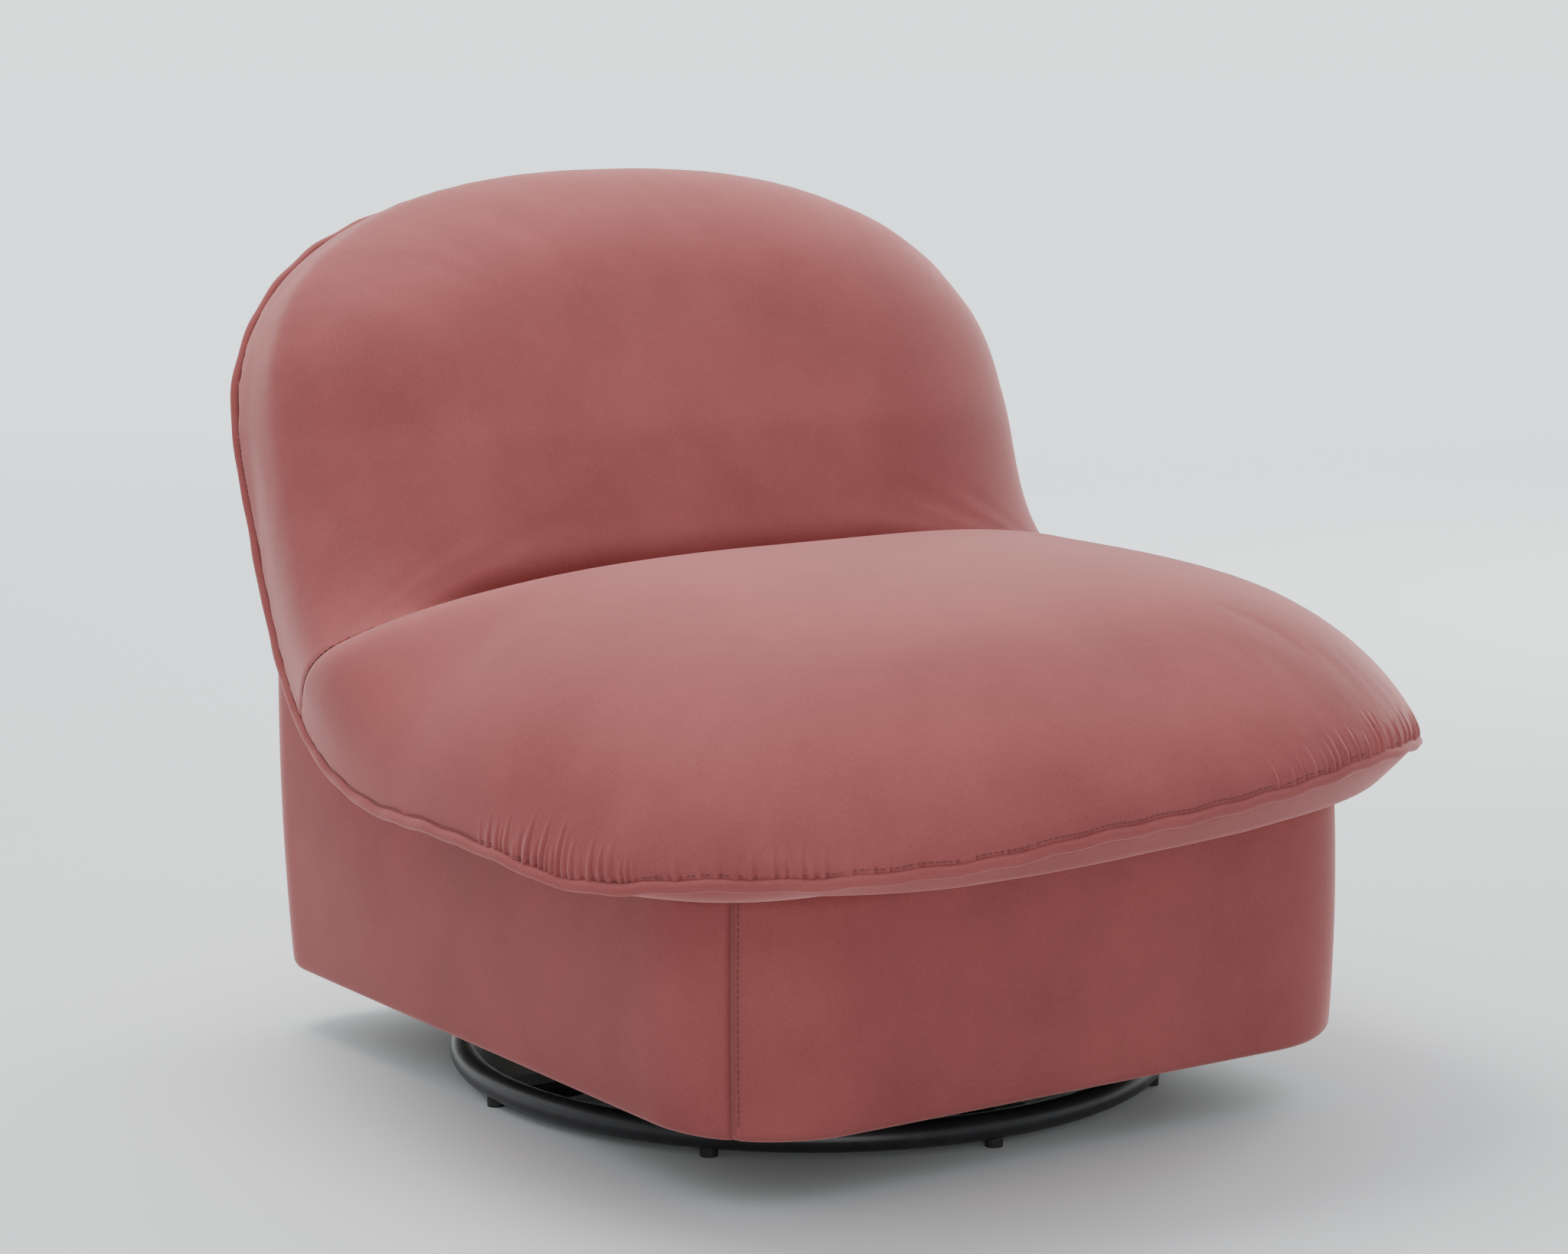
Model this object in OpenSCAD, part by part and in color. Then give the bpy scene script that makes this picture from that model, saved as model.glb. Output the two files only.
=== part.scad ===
// Armless swivel glider chair: a padded L-shaped shell on an upholstered box,
// carried by four hanging links on a carriage that turns on a round floor ring.
// Millimetres. Origin on the floor under the middle of the chair's outline, front towards -Y, +Z up.

/* [Seat shell] */
// Width across the welt at the seat
seat_w = 820; // [780:5:860]
// Distance from the ring's centre to the front of the seat
seat_front = 475; // [450:5:500]
// Height of the welt along the sides of the seat
seat_welt_z = 262; // [258:1:270]
// Height of the welt at the middle of the front
front_welt_z = 280; // [268:1:290]
// Height of the crown of the seat
seat_crown_z = 440; // [410:5:460]
// Width across the welt at the back
back_w = 700; // [670:5:730]
// Height of the welt at the top of the back
back_welt_z = 715; // [680:5:760]
// Lean of the back from upright, in degrees
back_lean = 14; // [10:1:18]
// Depth of the back's padding in front of the welt
back_depth = 185; // [160:5:200]
// Diameter of the welt cord in its cover
welt_d = 9.6; // [7:0.2:10]

/* [Upholstered base] */
// Width of the base box
base_w = 634; // [620:2:650]
// Depth of the base box
base_d = 719; // [700:1:730]
// Gap between the floor and the base box
base_bottom = 54; // [46:1:60]
// Radius of the upright front corners
front_corner_r = 109; // [80:1:120]
// Radius of the upright rear corners
rear_corner_r = 48; // [42:1:56]
// Thickness of the padding and velvet on the box
cover_t = 8; // [6:0.5:10]
// Thickness of the plywood panels
panel_t = 15; // [12:1:18]

/* [Floor ring] */
// Radius of the ring to the centre of its tube
ring_r = 290; // [280:1:300]
// Diameter of the ring's tube
tube_d = 22; // [18:1:24]
// Height of the small feet below the tube
foot_h = 5.8; // [5:0.2:8]
// Diameter of the small feet
foot_d = 14; // [12:1:18]
// Number of small feet round the ring
foot_count = 8; // [6:1:10]

/* [Glide links] */
// Distance between the pivots of a link
link_len = 100; // [90:1:104]
// Distance of the pivots in front of and behind the ring's centre
link_y = 130; // [120:1:140]
// Height of the upper pivots
pivot_top_z = 184; // [180:1:184]
// Diameter of the pivot pins
pin_d = 12; // [10:1:12]

/* [Hidden] */
$fn = 48;

velvet = "#a5605f";
black_steel = "#1c1c1e";
bright_steel = "#8f9296";
plywood = "#c9a878";
nylon = "#e6e2d6";
felt = "#6f6a66";

// Shell
seat_half = seat_w / 2;
back_half = back_w / 2;
welt_r = welt_d / 2;
widest_y = -60;
seat_power = 2.8;
back_power = 2.4;
bend_end = [345, 500];
bend = [[widest_y, seat_welt_z], [140, 250], [290, 330], bend_end];
bend_mid = bezier(bend, 0.5);
arch_h = (back_welt_z - bend_end[1]) / cos(back_lean);
shell_gap = 0.5;
mitre_y = 235;
mitre_z = 289;
mitre_slope = 1.306;
seat_rear_y = 205;
ring_points = 40;
bend_len = 480;
back_foot = 225;
mitre_thin = 0.22;
back_share = 1.03;
back_swell = 1.05;
back_rear_share = 0.9;
back_edge_share = 0.99;
back_edge_rise = 8;
back_side = 0.5;
back_edge_depth = 0.35;
back_low_share = 0.7;
rear_panel_t = 12;
rear_panel_foot = 165;
rear_share = 0.98;
front_steps = 40;
bend_steps = 12;
arch_steps = 24;

// Base box
half_w = base_w / 2;
front_y = -base_d / 2;
rear_y = base_d / 2;
hem_t = 2;
seat_top_z = 240;
rear_top_z = 330;
panel_bottom = base_bottom + hem_t;
wedge_y = [215, 300];
front_seam = 50;
rear_seam = 45;
inner_half = half_w - cover_t - panel_t;
far = 600;
cut = 1;

// Running gear
ring_y = 30;
tube_r = tube_d / 2;
tube_z = foot_h + tube_r;
foot_turn = -5;
foot_sink = 5;
spoke_w = 30;
spoke_h = 15;
spoke_start = 16;
weld_gap = 0.05;
hub_r = 110;
plate_t = 5;
hub_z = tube_z + spoke_h / 2;
race_z = hub_z + plate_t;
race_t = 6;
race_inner = 62;
race_outer = 100;
ball_circle = 80;
ball_r = 4;
ball_count = 24;
groove_r = 4.2;
race_gap = 3;
upper_z = race_z + race_t + race_gap;
ball_z = race_z + race_t + race_gap / 2;
cage_t = 1.2;
cage_lip = 3;
cage_gap = 0.3;
king_r = 8;
king_head = [13, 9];
king_nut_h = 10;
king_end = 16;
king_nut_gap = 0.4;
running_gap = 0.06;
deck_z = upper_z + race_t;
cross_y = 60;
cross_w = 40;
cross_h = 15;
bolt_r = 4;
bolt_head_r = 7;
bolt_head_h = 4;
bolt_gap = 0.2;
bolt_end = 0.5;
cross_bolt_x = 30;
channel_t = 3;
post_x = 181;
post_t = 4;
post_w = 36;
rail_w = 30;
rail_top_z = deck_z + cross_h;
link_x = 193;
link_t = 5;
link_w = 24;
eye_r = 16;
bush_outer_r = 9;
bush_flange_r = 14;
bush_flange_t = 3.5;
open_gap = 0.3;
pin_r = pin_d / 2;
shoulder_r = 10;
pin_head_r = 9;
pivot_low_z = pivot_top_z - link_len;
hanger_x = 203;
hanger_t = 4;
hanger_top = pivot_low_z + 20;
hanger_foot = pivot_low_z - 18;
hanger_len = 340;
cleat = [40, 340, 40];
rail_z = 205;
rail_h = 31;
rail_front_y = -320;
rail_rear_y = 180;
rail_depth = 40;
slab_gap = 0.5;
dust_t = 1;
dust_cloth = "#141414";
spring_r = 2;
spring_count = 5;
spring_pitch = 105;
spring_wave = 26;
spring_waves = 7;
spring_steps = 6;
spring_sides = 5;
corner_share = 0.25;
bend_step = 0.01;
pad_turn = 15;
pad_last = 75;
spring_lift = 0.05;
wire_up = [0.1, 0.2, 1];
spring_inset = 15;
clip = [18, 6, 4];
clip_gap = 3;
felt_t = 3;
felt_lift = 0.3;
post_low_z = 110;
frame_t = 20;
frame_inset = 14;
back_post_w = 44;
back_post_x = 246;
strap_t = 2;
strap_inset = 4;
strap_pitch = 60;
strap_gap = 0.5;
arch_inner = [0.8, 0.74];
back_start = frame_t / 2 + strap_t + strap_gap;
seat_share = 1 - (welt_r + shell_gap) / seat_half;
seat_floor_share = 0.8;
seat_edge_share = 0.92;
seat_edge_rise = 3;
seat_side = 0.8;
seat_top = 0.95;
pad_pole = 0.12;
bolt_circle = 70;
race_turn = 45;
screw_y = [-140, -50, 50, 140];
screw_r = 2.4;
screw_hole_r = 2.45;
screw_clear_r = 3;
screw_head = [5.5, 3];
screw_len = 25;
pin_head_t = 3;
pin_side_gap = 0.4;
pin_inner_gap = 0.3;
pin_overlap = 0.5;
bush_start = link_x - bush_flange_t;
bush_end = link_x + link_t + bush_flange_t;
pin_shoulder_len = bush_start - pin_side_gap - post_x - post_t;
low_pin_len = hanger_x + hanger_t + pin_overlap - bush_start;
low_collar_len = hanger_x - bush_end - pin_side_gap;
spring_z = rail_z + rail_h + spring_r + spring_lift;
spring_start = rail_front_y + spring_inset;
spring_end = rail_rear_y + rail_depth - spring_inset;
deck_pad_z = spring_z + spring_r + felt_lift;
seat_floor_z = deck_pad_z + felt_t + felt_lift;
post_foot_v = (post_low_z - bend_end[1]) / cos(back_lean);
post_top_v = 95;
lower_rail_v = -140;
rail_band = 50;
front_corner = [half_w - front_corner_r, front_y + front_corner_r];
rear_corner = [half_w - rear_corner_r, rear_y - rear_corner_r];
front_out = front_corner + far * [sin(front_seam), -cos(front_seam)];
rear_out = rear_corner + far * [sin(rear_seam), cos(rear_seam)];

function smooth(t) = t * t * (3 - 2 * t);
function bezier(p, t) =
    pow(1 - t, 3) * p[0] + 3 * t * pow(1 - t, 2) * p[1] + 3 * t * t * (1 - t) * p[2] + pow(t, 3) * p[3];
function power(v, e) = sign(v) * pow(abs(v), e);
function unit(v) = v / norm(v);
function middle(points) = [for (k = [0:2])
    let (c = [for (p = points) p[k]]) c * [for (p = points) 1] / len(points)];

// A point in the plane of the back: x across, v up the lean, n forwards from the welt
function on_back(x, v, n) = [
    x,
    bend_end[0] + v * sin(back_lean) - n * cos(back_lean),
    bend_end[1] + v * cos(back_lean) + n * sin(back_lean)
];

// The welt runs round the seat's front, up both bends and over the back
function welt_front(a) = [
    -seat_half * power(cos(a), 2 / seat_power),
    widest_y - (seat_front + widest_y) * power(sin(a), 2 / seat_power),
    seat_welt_z + (front_welt_z - seat_welt_z) * pow(sin(a), 2)
];
function welt_bend(side, t) = let (p = bezier(bend, t)) [
    side * (seat_half + (back_half - seat_half) * smooth(t)),
    p[0],
    p[1]
];
function welt_arch(a) = on_back(
    back_half * power(cos(a), 2 / back_power),
    arch_h * power(sin(a), 2 / back_power),
    0
);
welt_path = concat(
    [for (i = [0:front_steps]) welt_front(180 * i / front_steps)],
    [for (i = [1:bend_steps]) welt_bend(1, i / bend_steps)],
    [for (i = [1:arch_steps - 1]) welt_arch(180 * i / arch_steps)],
    [for (i = [0:bend_steps - 1]) welt_bend(-1, 1 - i / bend_steps)]
);

function loop_tangent(path, i) = let (n = len(path)) unit(path[(i + 1) % n] - path[(i + n - 1) % n]);
function line_tangent(path, i) = unit(path[min(i + 1, len(path) - 1)] - path[max(i - 1, 0)]);
function tube_ring(p, t, out, r, sides) =
    let (u = unit(out - (out * t) * t), w = cross(t, u))
    [for (k = [0:sides - 1]) p + r * (cos(360 * k / sides) * u + sin(360 * k / sides) * w)];
function band(a, b, n) = [for (j = [0:n - 1]) each let (k = (j + 1) % n) [
    [a + j, b + k, a + k],
    [a + j, b + j, b + k]
]];

// A closed tube along a closed path, its rings turned away from the middle
module tube_loop(path, r, sides) {
    centre = middle(path);
    count = len(path);
    rings = [for (i = [0:count - 1]) tube_ring(path[i], loop_tangent(path, i), path[i] - centre, r, sides)];
    polyhedron(
        [for (ring = rings) each ring],
        [for (i = [0:count - 1]) each band(i * sides, ((i + 1) % count) * sides, sides)],
        convexity = 6
    );
}

// A solid through a stack of rings, closed at both ends by a fan
module loft(rings) {
    n = len(rings[0]);
    m = len(rings);
    low = n * m;
    high = low + 1;
    polyhedron(
        concat([for (ring = rings) each ring], [middle(rings[0]), middle(rings[m - 1])]),
        concat(
            [for (i = [0:m - 2]) each band(i * n, (i + 1) * n, n)],
            [for (j = [0:n - 1]) [low, j, (j + 1) % n]],
            [for (j = [0:n - 1]) [high, (m - 1) * n + (j + 1) % n, (m - 1) * n + j]]
        ),
        convexity = 4
    );
}

module wire(path, r, sides) {
    loft([for (i = [0:len(path) - 1]) tube_ring(path[i], line_tangent(path, i), wire_up, r, sides)]);
}

module both_sides() {
    for (side = [0, 1])
        mirror([side, 0, 0])
            children();
}

module side_profile(x, t, points) {
    translate([x, 0, 0])
        rotate([90, 0, 90])
            linear_extrude(t)
                polygon(points);
}

// Sizes are worked out from the ring's centre, and the finished pieces are set with the origin
// under the middle of the chair's outline
module placed() {
    translate([0, ring_y, 0])
        children();
}

// ---- Floor ring and bearing ----

module ring_torus(r) {
    translate([0, 0, tube_z])
        rotate_extrude($fn = 96)
            translate([ring_r, 0])
                circle(r);
}

module floor_ring() {
    color(black_steel) placed()
        ring_torus(tube_r);
}

module ring_feet() {
    color(black_steel) placed()
        difference() {
            for (i = [0:foot_count - 1])
                rotate(foot_turn + i * 360 / foot_count)
                    translate([0, -ring_r, 0])
                        cylinder(h = foot_h + foot_sink, d = foot_d);
            ring_torus(tube_r + weld_gap);
        }
}

module spoke(turn) {
    color(black_steel) placed()
        difference() {
            rotate(turn)
                translate([spoke_start, -spoke_w / 2, tube_z - spoke_h / 2])
                    cube([ring_r - spoke_start - cut, spoke_w, spoke_h]);
            ring_torus(tube_r + weld_gap);
        }
}

module spoke_left() { spoke(180); }
module spoke_right() { spoke(0); }
module spoke_front() { spoke(270); }
module spoke_rear() { spoke(90); }

module bolt_places(r, count, turn) {
    for (i = [0:count - 1])
        rotate(turn + i * 360 / count)
            translate([r, 0, 0])
                children();
}

module hub_plate() {
    color(black_steel) placed()
        difference() {
            translate([0, 0, hub_z])
                cylinder(h = plate_t, r = hub_r, $fn = 72);
            translate([0, 0, hub_z - cut])
                cylinder(h = plate_t + 2 * cut, r = king_r + running_gap);
            bolt_places(bolt_circle, 4, race_turn)
                translate([0, 0, hub_z - cut])
                    cylinder(h = plate_t + 2 * cut, r = bolt_r + bolt_gap);
        }
}

module ball_groove() {
    translate([0, 0, ball_z])
        rotate_extrude($fn = 72)
            translate([ball_circle, 0])
                circle(groove_r);
}

module lower_race() {
    color(bright_steel) placed()
        difference() {
            translate([0, 0, race_z])
                cylinder(h = race_t, r = race_outer, $fn = 72);
            translate([0, 0, race_z - cut])
                cylinder(h = race_t + 2 * cut, r = race_inner, $fn = 72);
            bolt_places(bolt_circle, 4, race_turn)
                translate([0, 0, race_z - cut])
                    cylinder(h = race_t + 2 * cut, r = bolt_r + bolt_gap);
            ball_groove();
        }
}

module race_bolts() {
    color(bright_steel) placed()
        bolt_places(bolt_circle, 4, race_turn) {
            translate([0, 0, hub_z - bolt_head_h])
                cylinder(h = bolt_head_h, r = bolt_head_r, $fn = 6);
            translate([0, 0, hub_z])
                cylinder(h = plate_t + race_t - bolt_end, r = bolt_r);
        }
}

module king_pin() {
    color(bright_steel) placed() {
        translate([0, 0, hub_z - king_head[1]])
            cylinder(h = king_head[1], r = king_head[0], $fn = 6);
        translate([0, 0, hub_z])
            cylinder(h = deck_z - hub_z + king_end, r = king_r);
    }
}

module king_nut() {
    color(bright_steel) placed()
        translate([0, 0, deck_z + king_nut_gap])
            difference() {
                cylinder(h = king_nut_h, r = king_head[0], $fn = 6);
                translate([0, 0, -cut])
                    cylinder(h = king_nut_h + 2 * cut, r = king_r + running_gap);
            }
}

module bearing_balls() {
    color(bright_steel) placed()
        bolt_places(ball_circle, ball_count, 0)
            translate([0, 0, ball_z])
                sphere(ball_r);
}

module ball_cage() {
    color(nylon) placed()
        difference() {
            translate([0, 0, ball_z - cage_t / 2])
                cylinder(h = cage_t, r = ball_circle + ball_r + cage_lip, $fn = 72);
            translate([0, 0, ball_z - cage_t])
                cylinder(h = 2 * cage_t, r = ball_circle - ball_r - cage_lip, $fn = 72);
            bolt_places(ball_circle, ball_count, 0)
                translate([0, 0, ball_z - cage_t])
                    cylinder(h = 2 * cage_t, r = ball_r + cage_gap);
        }
}

// ---- Turning carriage ----

module upper_race() {
    color(bright_steel) placed()
        difference() {
            translate([0, 0, upper_z])
                cylinder(h = race_t, r = race_outer, $fn = 72);
            translate([0, 0, upper_z - cut])
                cylinder(h = race_t + 2 * cut, r = king_r + running_gap);
            cross_bolt_places()
                translate([0, 0, upper_z - cut])
                    cylinder(h = race_t + 2 * cut, r = bolt_r + bolt_gap);
            ball_groove();
        }
}

module cross_bolt_places() {
    for (x = [-cross_bolt_x, cross_bolt_x], y = [-cross_y, cross_y])
        translate([x, y, 0])
            children();
}

module cross_member(y) {
    color(black_steel) placed()
        difference() {
            translate([-post_x, y - cross_w / 2, deck_z])
                cube([2 * post_x, cross_w, cross_h]);
            translate([-post_x + rail_w, y - cross_w / 2 + channel_t, deck_z + channel_t])
                cube([2 * (post_x - rail_w), cross_w - 2 * channel_t, cross_h]);
            cross_bolt_places()
                translate([0, 0, deck_z - cut])
                    cylinder(h = channel_t + 2 * cut, r = bolt_r + bolt_gap);
        }
}

module cross_member_front() { cross_member(-cross_y); }
module cross_member_rear() { cross_member(cross_y); }

module carriage_bolts() {
    color(bright_steel) placed()
        cross_bolt_places() {
            translate([0, 0, deck_z + channel_t])
                cylinder(h = bolt_head_h, r = bolt_head_r, $fn = 6);
            translate([0, 0, upper_z + bolt_end])
                cylinder(h = deck_z + channel_t - upper_z - bolt_end, r = bolt_r);
        }
}

// An upright flat bar on edge along each side, on the ends of the cross members
module carriage_rails() {
    color(black_steel) placed()
        both_sides()
            translate([post_x - rail_w, -link_y - post_w / 2, rail_top_z])
                cube([rail_w, 2 * link_y + post_w, plate_t]);
}

module pivot_post(y) {
    color(black_steel) placed()
        translate([post_x, y, 0])
            rotate([90, 0, 90])
                difference() {
                    linear_extrude(post_t)
                        union() {
                            translate([-post_w / 2, deck_z])
                                square([post_w, pivot_top_z - deck_z]);
                            translate([0, pivot_top_z])
                                intersection() {
                                    circle(post_w / 2);
                                    translate([-post_w, -1])
                                        square([2 * post_w, eye_r + 1]);
                                }
                        }
                    translate([0, pivot_top_z, -cut])
                        cylinder(h = post_t + 2 * cut, r = pin_r + running_gap);
                }
}

module pivot_post_front_left() { mirror([1, 0, 0]) pivot_post(-link_y); }
module pivot_post_front_right() { pivot_post(-link_y); }
module pivot_post_rear_left() { mirror([1, 0, 0]) pivot_post(link_y); }
module pivot_post_rear_right() { pivot_post(link_y); }

module along_x(x, y, z, h, r) {
    translate([x, y, z])
        rotate([0, 90, 0])
            cylinder(h = h, r = r);
}

module upper_pivot_pins() {
    color(bright_steel) placed()
        both_sides()
            for (y = [-link_y, link_y]) {
                along_x(post_x - pin_head_t, y, pivot_top_z, pin_head_t, pin_head_r);
                along_x(post_x, y, pivot_top_z, bush_end + pin_overlap - post_x, pin_r);
                along_x(post_x + post_t, y, pivot_top_z, pin_shoulder_len, shoulder_r);
                along_x(bush_end + pin_side_gap, y, pivot_top_z, pin_head_t, shoulder_r);
            }
}

// ---- Glide links ----

module link(y) {
    color(black_steel) placed()
        translate([link_x, y, 0])
            rotate([90, 0, 90])
                difference() {
                    linear_extrude(link_t)
                        union() {
                            translate([0, pivot_top_z])
                                circle(eye_r);
                            translate([0, pivot_low_z])
                                circle(eye_r);
                            translate([-link_w / 2, pivot_low_z])
                                square([link_w, link_len]);
                        }
                    for (z = [pivot_top_z, pivot_low_z])
                        translate([0, z, -cut])
                            cylinder(h = link_t + 2 * cut, r = bush_outer_r + running_gap);
                }
}

module link_front_left() { mirror([1, 0, 0]) link(-link_y); }
module link_front_right() { link(-link_y); }
module link_rear_left() { mirror([1, 0, 0]) link(link_y); }
module link_rear_right() { link(link_y); }

module bush(y, z, gap) {
    color(nylon) placed()
        difference() {
            union() {
                along_x(bush_start, y, z, bush_flange_t, bush_flange_r);
                along_x(bush_start, y, z, bush_end - bush_start, bush_outer_r);
                along_x(bush_end - bush_flange_t, y, z, bush_flange_t, bush_flange_r);
            }
            along_x(bush_start - cut, y, z, bush_end - bush_start + 2 * cut, pin_r + gap);
        }
}

// The lower bush that carries the chair's own hinge runs close, the other three have room
module link_bushes(y, low_gap) {
    bush(y, pivot_top_z, running_gap);
    bush(y, pivot_low_z, low_gap);
}

module bushes_front_left() { mirror([1, 0, 0]) link_bushes(-link_y, running_gap); }
module bushes_front_right() { link_bushes(-link_y, open_gap); }
module bushes_rear_left() { mirror([1, 0, 0]) link_bushes(link_y, open_gap); }
module bushes_rear_right() { link_bushes(link_y, open_gap); }

// ---- Chair side of the glide ----

module hanger() {
    color(black_steel) placed()
        difference() {
            translate([0, -hanger_len / 2, 0])
                rotate([90, 0, 180])
                    mirror([1, 0, 0])
                        linear_extrude(hanger_len)
                            union() {
                                translate([hanger_x, hanger_foot])
                                    square([hanger_t, hanger_top - hanger_foot]);
                                translate([hanger_x, hanger_foot])
                                    square([inner_half - hanger_x - cut, hanger_t]);
                            }
            for (y = [-link_y, link_y])
                along_x(hanger_x - cut, y, pivot_low_z, hanger_t + 2 * cut, pin_r + running_gap);
            for (y = screw_y)
                translate([inner_half - cleat[0] / 2, y, hanger_foot - cut])
                    cylinder(h = hanger_t + 2 * cut, r = screw_clear_r);
        }
}

module hanger_left() { mirror([1, 0, 0]) hanger(); }
module hanger_right() { hanger(); }

module lower_pivot_pins() {
    color(bright_steel) placed()
        both_sides()
            for (y = [-link_y, link_y]) {
                along_x(bush_start - pin_inner_gap - pin_head_t, y, pivot_low_z, pin_head_t, pin_head_r);
                along_x(bush_start - pin_overlap, y, pivot_low_z, low_pin_len, pin_r);
                along_x(bush_end + pin_side_gap, y, pivot_low_z, low_collar_len, pin_head_r);
                along_x(hanger_x + hanger_t, y, pivot_low_z, pin_head_t, pin_head_r);
            }
}

module hanger_screws() {
    color(bright_steel) placed()
        both_sides()
            for (y = screw_y)
                translate([inner_half - cleat[0] / 2, y, 0]) {
                    translate([0, 0, hanger_foot - screw_head[1]])
                        cylinder(h = screw_head[1], r = screw_head[0]);
                    translate([0, 0, hanger_foot])
                        cylinder(h = hanger_t + screw_len, r = screw_r);
                }
}

module hanger_cleats() {
    color(plywood) placed()
        both_sides()
            difference() {
                translate([inner_half - cleat[0], -cleat[1] / 2, hanger_foot + hanger_t])
                    cube(cleat);
                for (y = screw_y)
                    translate([inner_half - cleat[0] / 2, y, hanger_foot])
                        cylinder(h = hanger_t + screw_len + cut, r = screw_hole_r);
            }
}

// ---- Box frame ----

// Plan of the base box, drawn in by an inset all round
module base_plan(inset) {
    w = half_w - inset;
    low = front_y + inset;
    high = rear_y - inset;
    rf = front_corner_r - inset;
    rr = rear_corner_r - inset;
    union() {
        translate([-w, low + rf])
            square([2 * w, high - low - rf - rr]);
        translate([-w + rf, low])
            square([2 * (w - rf), rf]);
        translate([-w + rr, high - rr])
            square([2 * (w - rr), rr]);
        for (side = [-1, 1]) {
            translate([side * (w - rf), low + rf])
                circle(rf);
            translate([side * (w - rr), high - rr])
                circle(rr);
        }
    }
}

module frame_side() {
    front_end = front_y + front_corner_r;
    rear_end = rear_y - rear_corner_r;
    color(plywood) placed()
        side_profile(inner_half, panel_t, [
            [front_end, panel_bottom],
            [front_end, seat_top_z],
            [wedge_y[0], seat_top_z],
            [wedge_y[1], rear_top_z],
            [rear_end, rear_top_z],
            [rear_end, panel_bottom]
        ]);
}

module frame_side_left() { mirror([1, 0, 0]) frame_side(); }
module frame_side_right() { frame_side(); }

module frame_front() {
    span = half_w - front_corner_r;
    color(plywood) placed()
        translate([-span, front_y + cover_t, panel_bottom])
            cube([2 * span, panel_t, seat_top_z - panel_bottom]);
}

module frame_rear() {
    span = half_w - rear_corner_r;
    color(plywood) placed()
        translate([-span, rear_y - cover_t - panel_t, panel_bottom])
            cube([2 * span, panel_t, rear_top_z - panel_bottom]);
}

// Quarter rings that carry the cover round the four upright corners
module corner_formers() {
    color(plywood) placed()
        both_sides() {
            translate([half_w - front_corner_r, front_y + front_corner_r, panel_bottom])
                rotate(-90)
                    rotate_extrude(angle = 90)
                        translate([front_corner_r - cover_t - panel_t, 0])
                            square([panel_t, seat_top_z - panel_bottom]);
            translate([half_w - rear_corner_r, rear_y - rear_corner_r, panel_bottom])
                rotate_extrude(angle = 90)
                    translate([rear_corner_r - cover_t - panel_t, 0])
                        square([panel_t, rear_top_z - panel_bottom]);
        }
}

// A slab inside the box, cut to the plan of its inner faces
module inside_slab(y, depth, z, t) {
    intersection() {
        translate([-half_w, y, z])
            cube([base_w, depth, t]);
        linear_extrude(far)
            base_plan(cover_t + panel_t + slab_gap);
    }
}

module seat_rail_front() { color(plywood) placed() inside_slab(rail_front_y, rail_depth, rail_z, rail_h); }
module seat_rail_rear() { color(plywood) placed() inside_slab(rail_rear_y, rail_depth, rail_z, rail_h); }

function spring_point(x, i) = let (count = spring_waves * spring_steps) [
    x + spring_wave * sin(360 * i / spring_steps),
    spring_start + (spring_end - spring_start) * i / count,
    spring_z
];

module seat_springs() {
    color(bright_steel) placed()
        for (k = [0:spring_count - 1])
            let (x = (k - (spring_count - 1) / 2) * spring_pitch)
            wire([for (i = [0:spring_waves * spring_steps]) spring_point(x, i)], spring_r, spring_sides);
}

module spring_clips() {
    color(bright_steel) placed()
        for (k = [0:spring_count - 1], y = [spring_start - clip[1] - clip_gap, spring_end + clip_gap])
            translate([(k - (spring_count - 1) / 2) * spring_pitch - clip[0] / 2, y, rail_z + rail_h])
                cube(clip);
}

module deck_pad() {
    color(felt) placed()
        inside_slab(rail_front_y, seat_rear_y - rail_front_y, deck_pad_z, felt_t);
}

module dust_cover() {
    color(dust_cloth) placed()
        inside_slab(rail_front_y, rail_rear_y + rail_depth - rail_front_y, rail_z - dust_t, dust_t);
}

// ---- Back frame ----

module lean() {
    translate([0, bend_end[0], bend_end[1]])
        rotate([-back_lean, 0, 0])
            children();
}

module back_post() {
    color(plywood) placed()
        lean()
            translate([back_post_x, -frame_t / 2, post_foot_v])
                cube([back_post_w, frame_t, post_top_v - post_foot_v]);
}

module back_post_left() { mirror([1, 0, 0]) back_post(); }
module back_post_right() { back_post(); }

// The arched top rail stands on both posts
module back_top_rail() {
    wide = back_half - frame_inset;
    tall = arch_h - frame_inset;
    arch = [for (i = [0:arch_steps]) let (a = 180 * i / arch_steps)
        [wide * power(cos(a), 2 / back_power), tall * power(sin(a), 2 / back_power)]];
    color(plywood) placed()
        lean()
            rotate([90, 0, 0])
                translate([0, 0, -frame_t / 2])
                    linear_extrude(frame_t)
                        difference() {
                            intersection() {
                                polygon(arch);
                                translate([-wide, post_top_v])
                                    square([2 * wide, tall]);
                            }
                            scale(arch_inner)
                                polygon(arch);
                        }
}

module back_lower_rail() {
    color(plywood) placed()
        lean()
            translate([-back_post_x, -frame_t / 2, lower_rail_v])
                cube([2 * back_post_x, frame_t, rail_band]);
}

module back_webbing() {
    color(felt) placed()
        lean()
            for (v = [-strap_pitch, 0, strap_pitch])
                translate([-back_post_x - back_post_w + strap_inset, -frame_t / 2 - strap_t, v])
                    cube([2 * (back_post_x + back_post_w - strap_inset), strap_t, rail_band]);
}

// ---- Covers of the base box ----

module box_skin(top) {
    translate([0, 0, base_bottom])
        linear_extrude(top - base_bottom)
            difference() {
                base_plan(0);
                base_plan(cover_t);
            }
}

module plan_prism(points) {
    linear_extrude(far)
        polygon(points);
}

function flip(p) = [-p[0], p[1]];

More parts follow.
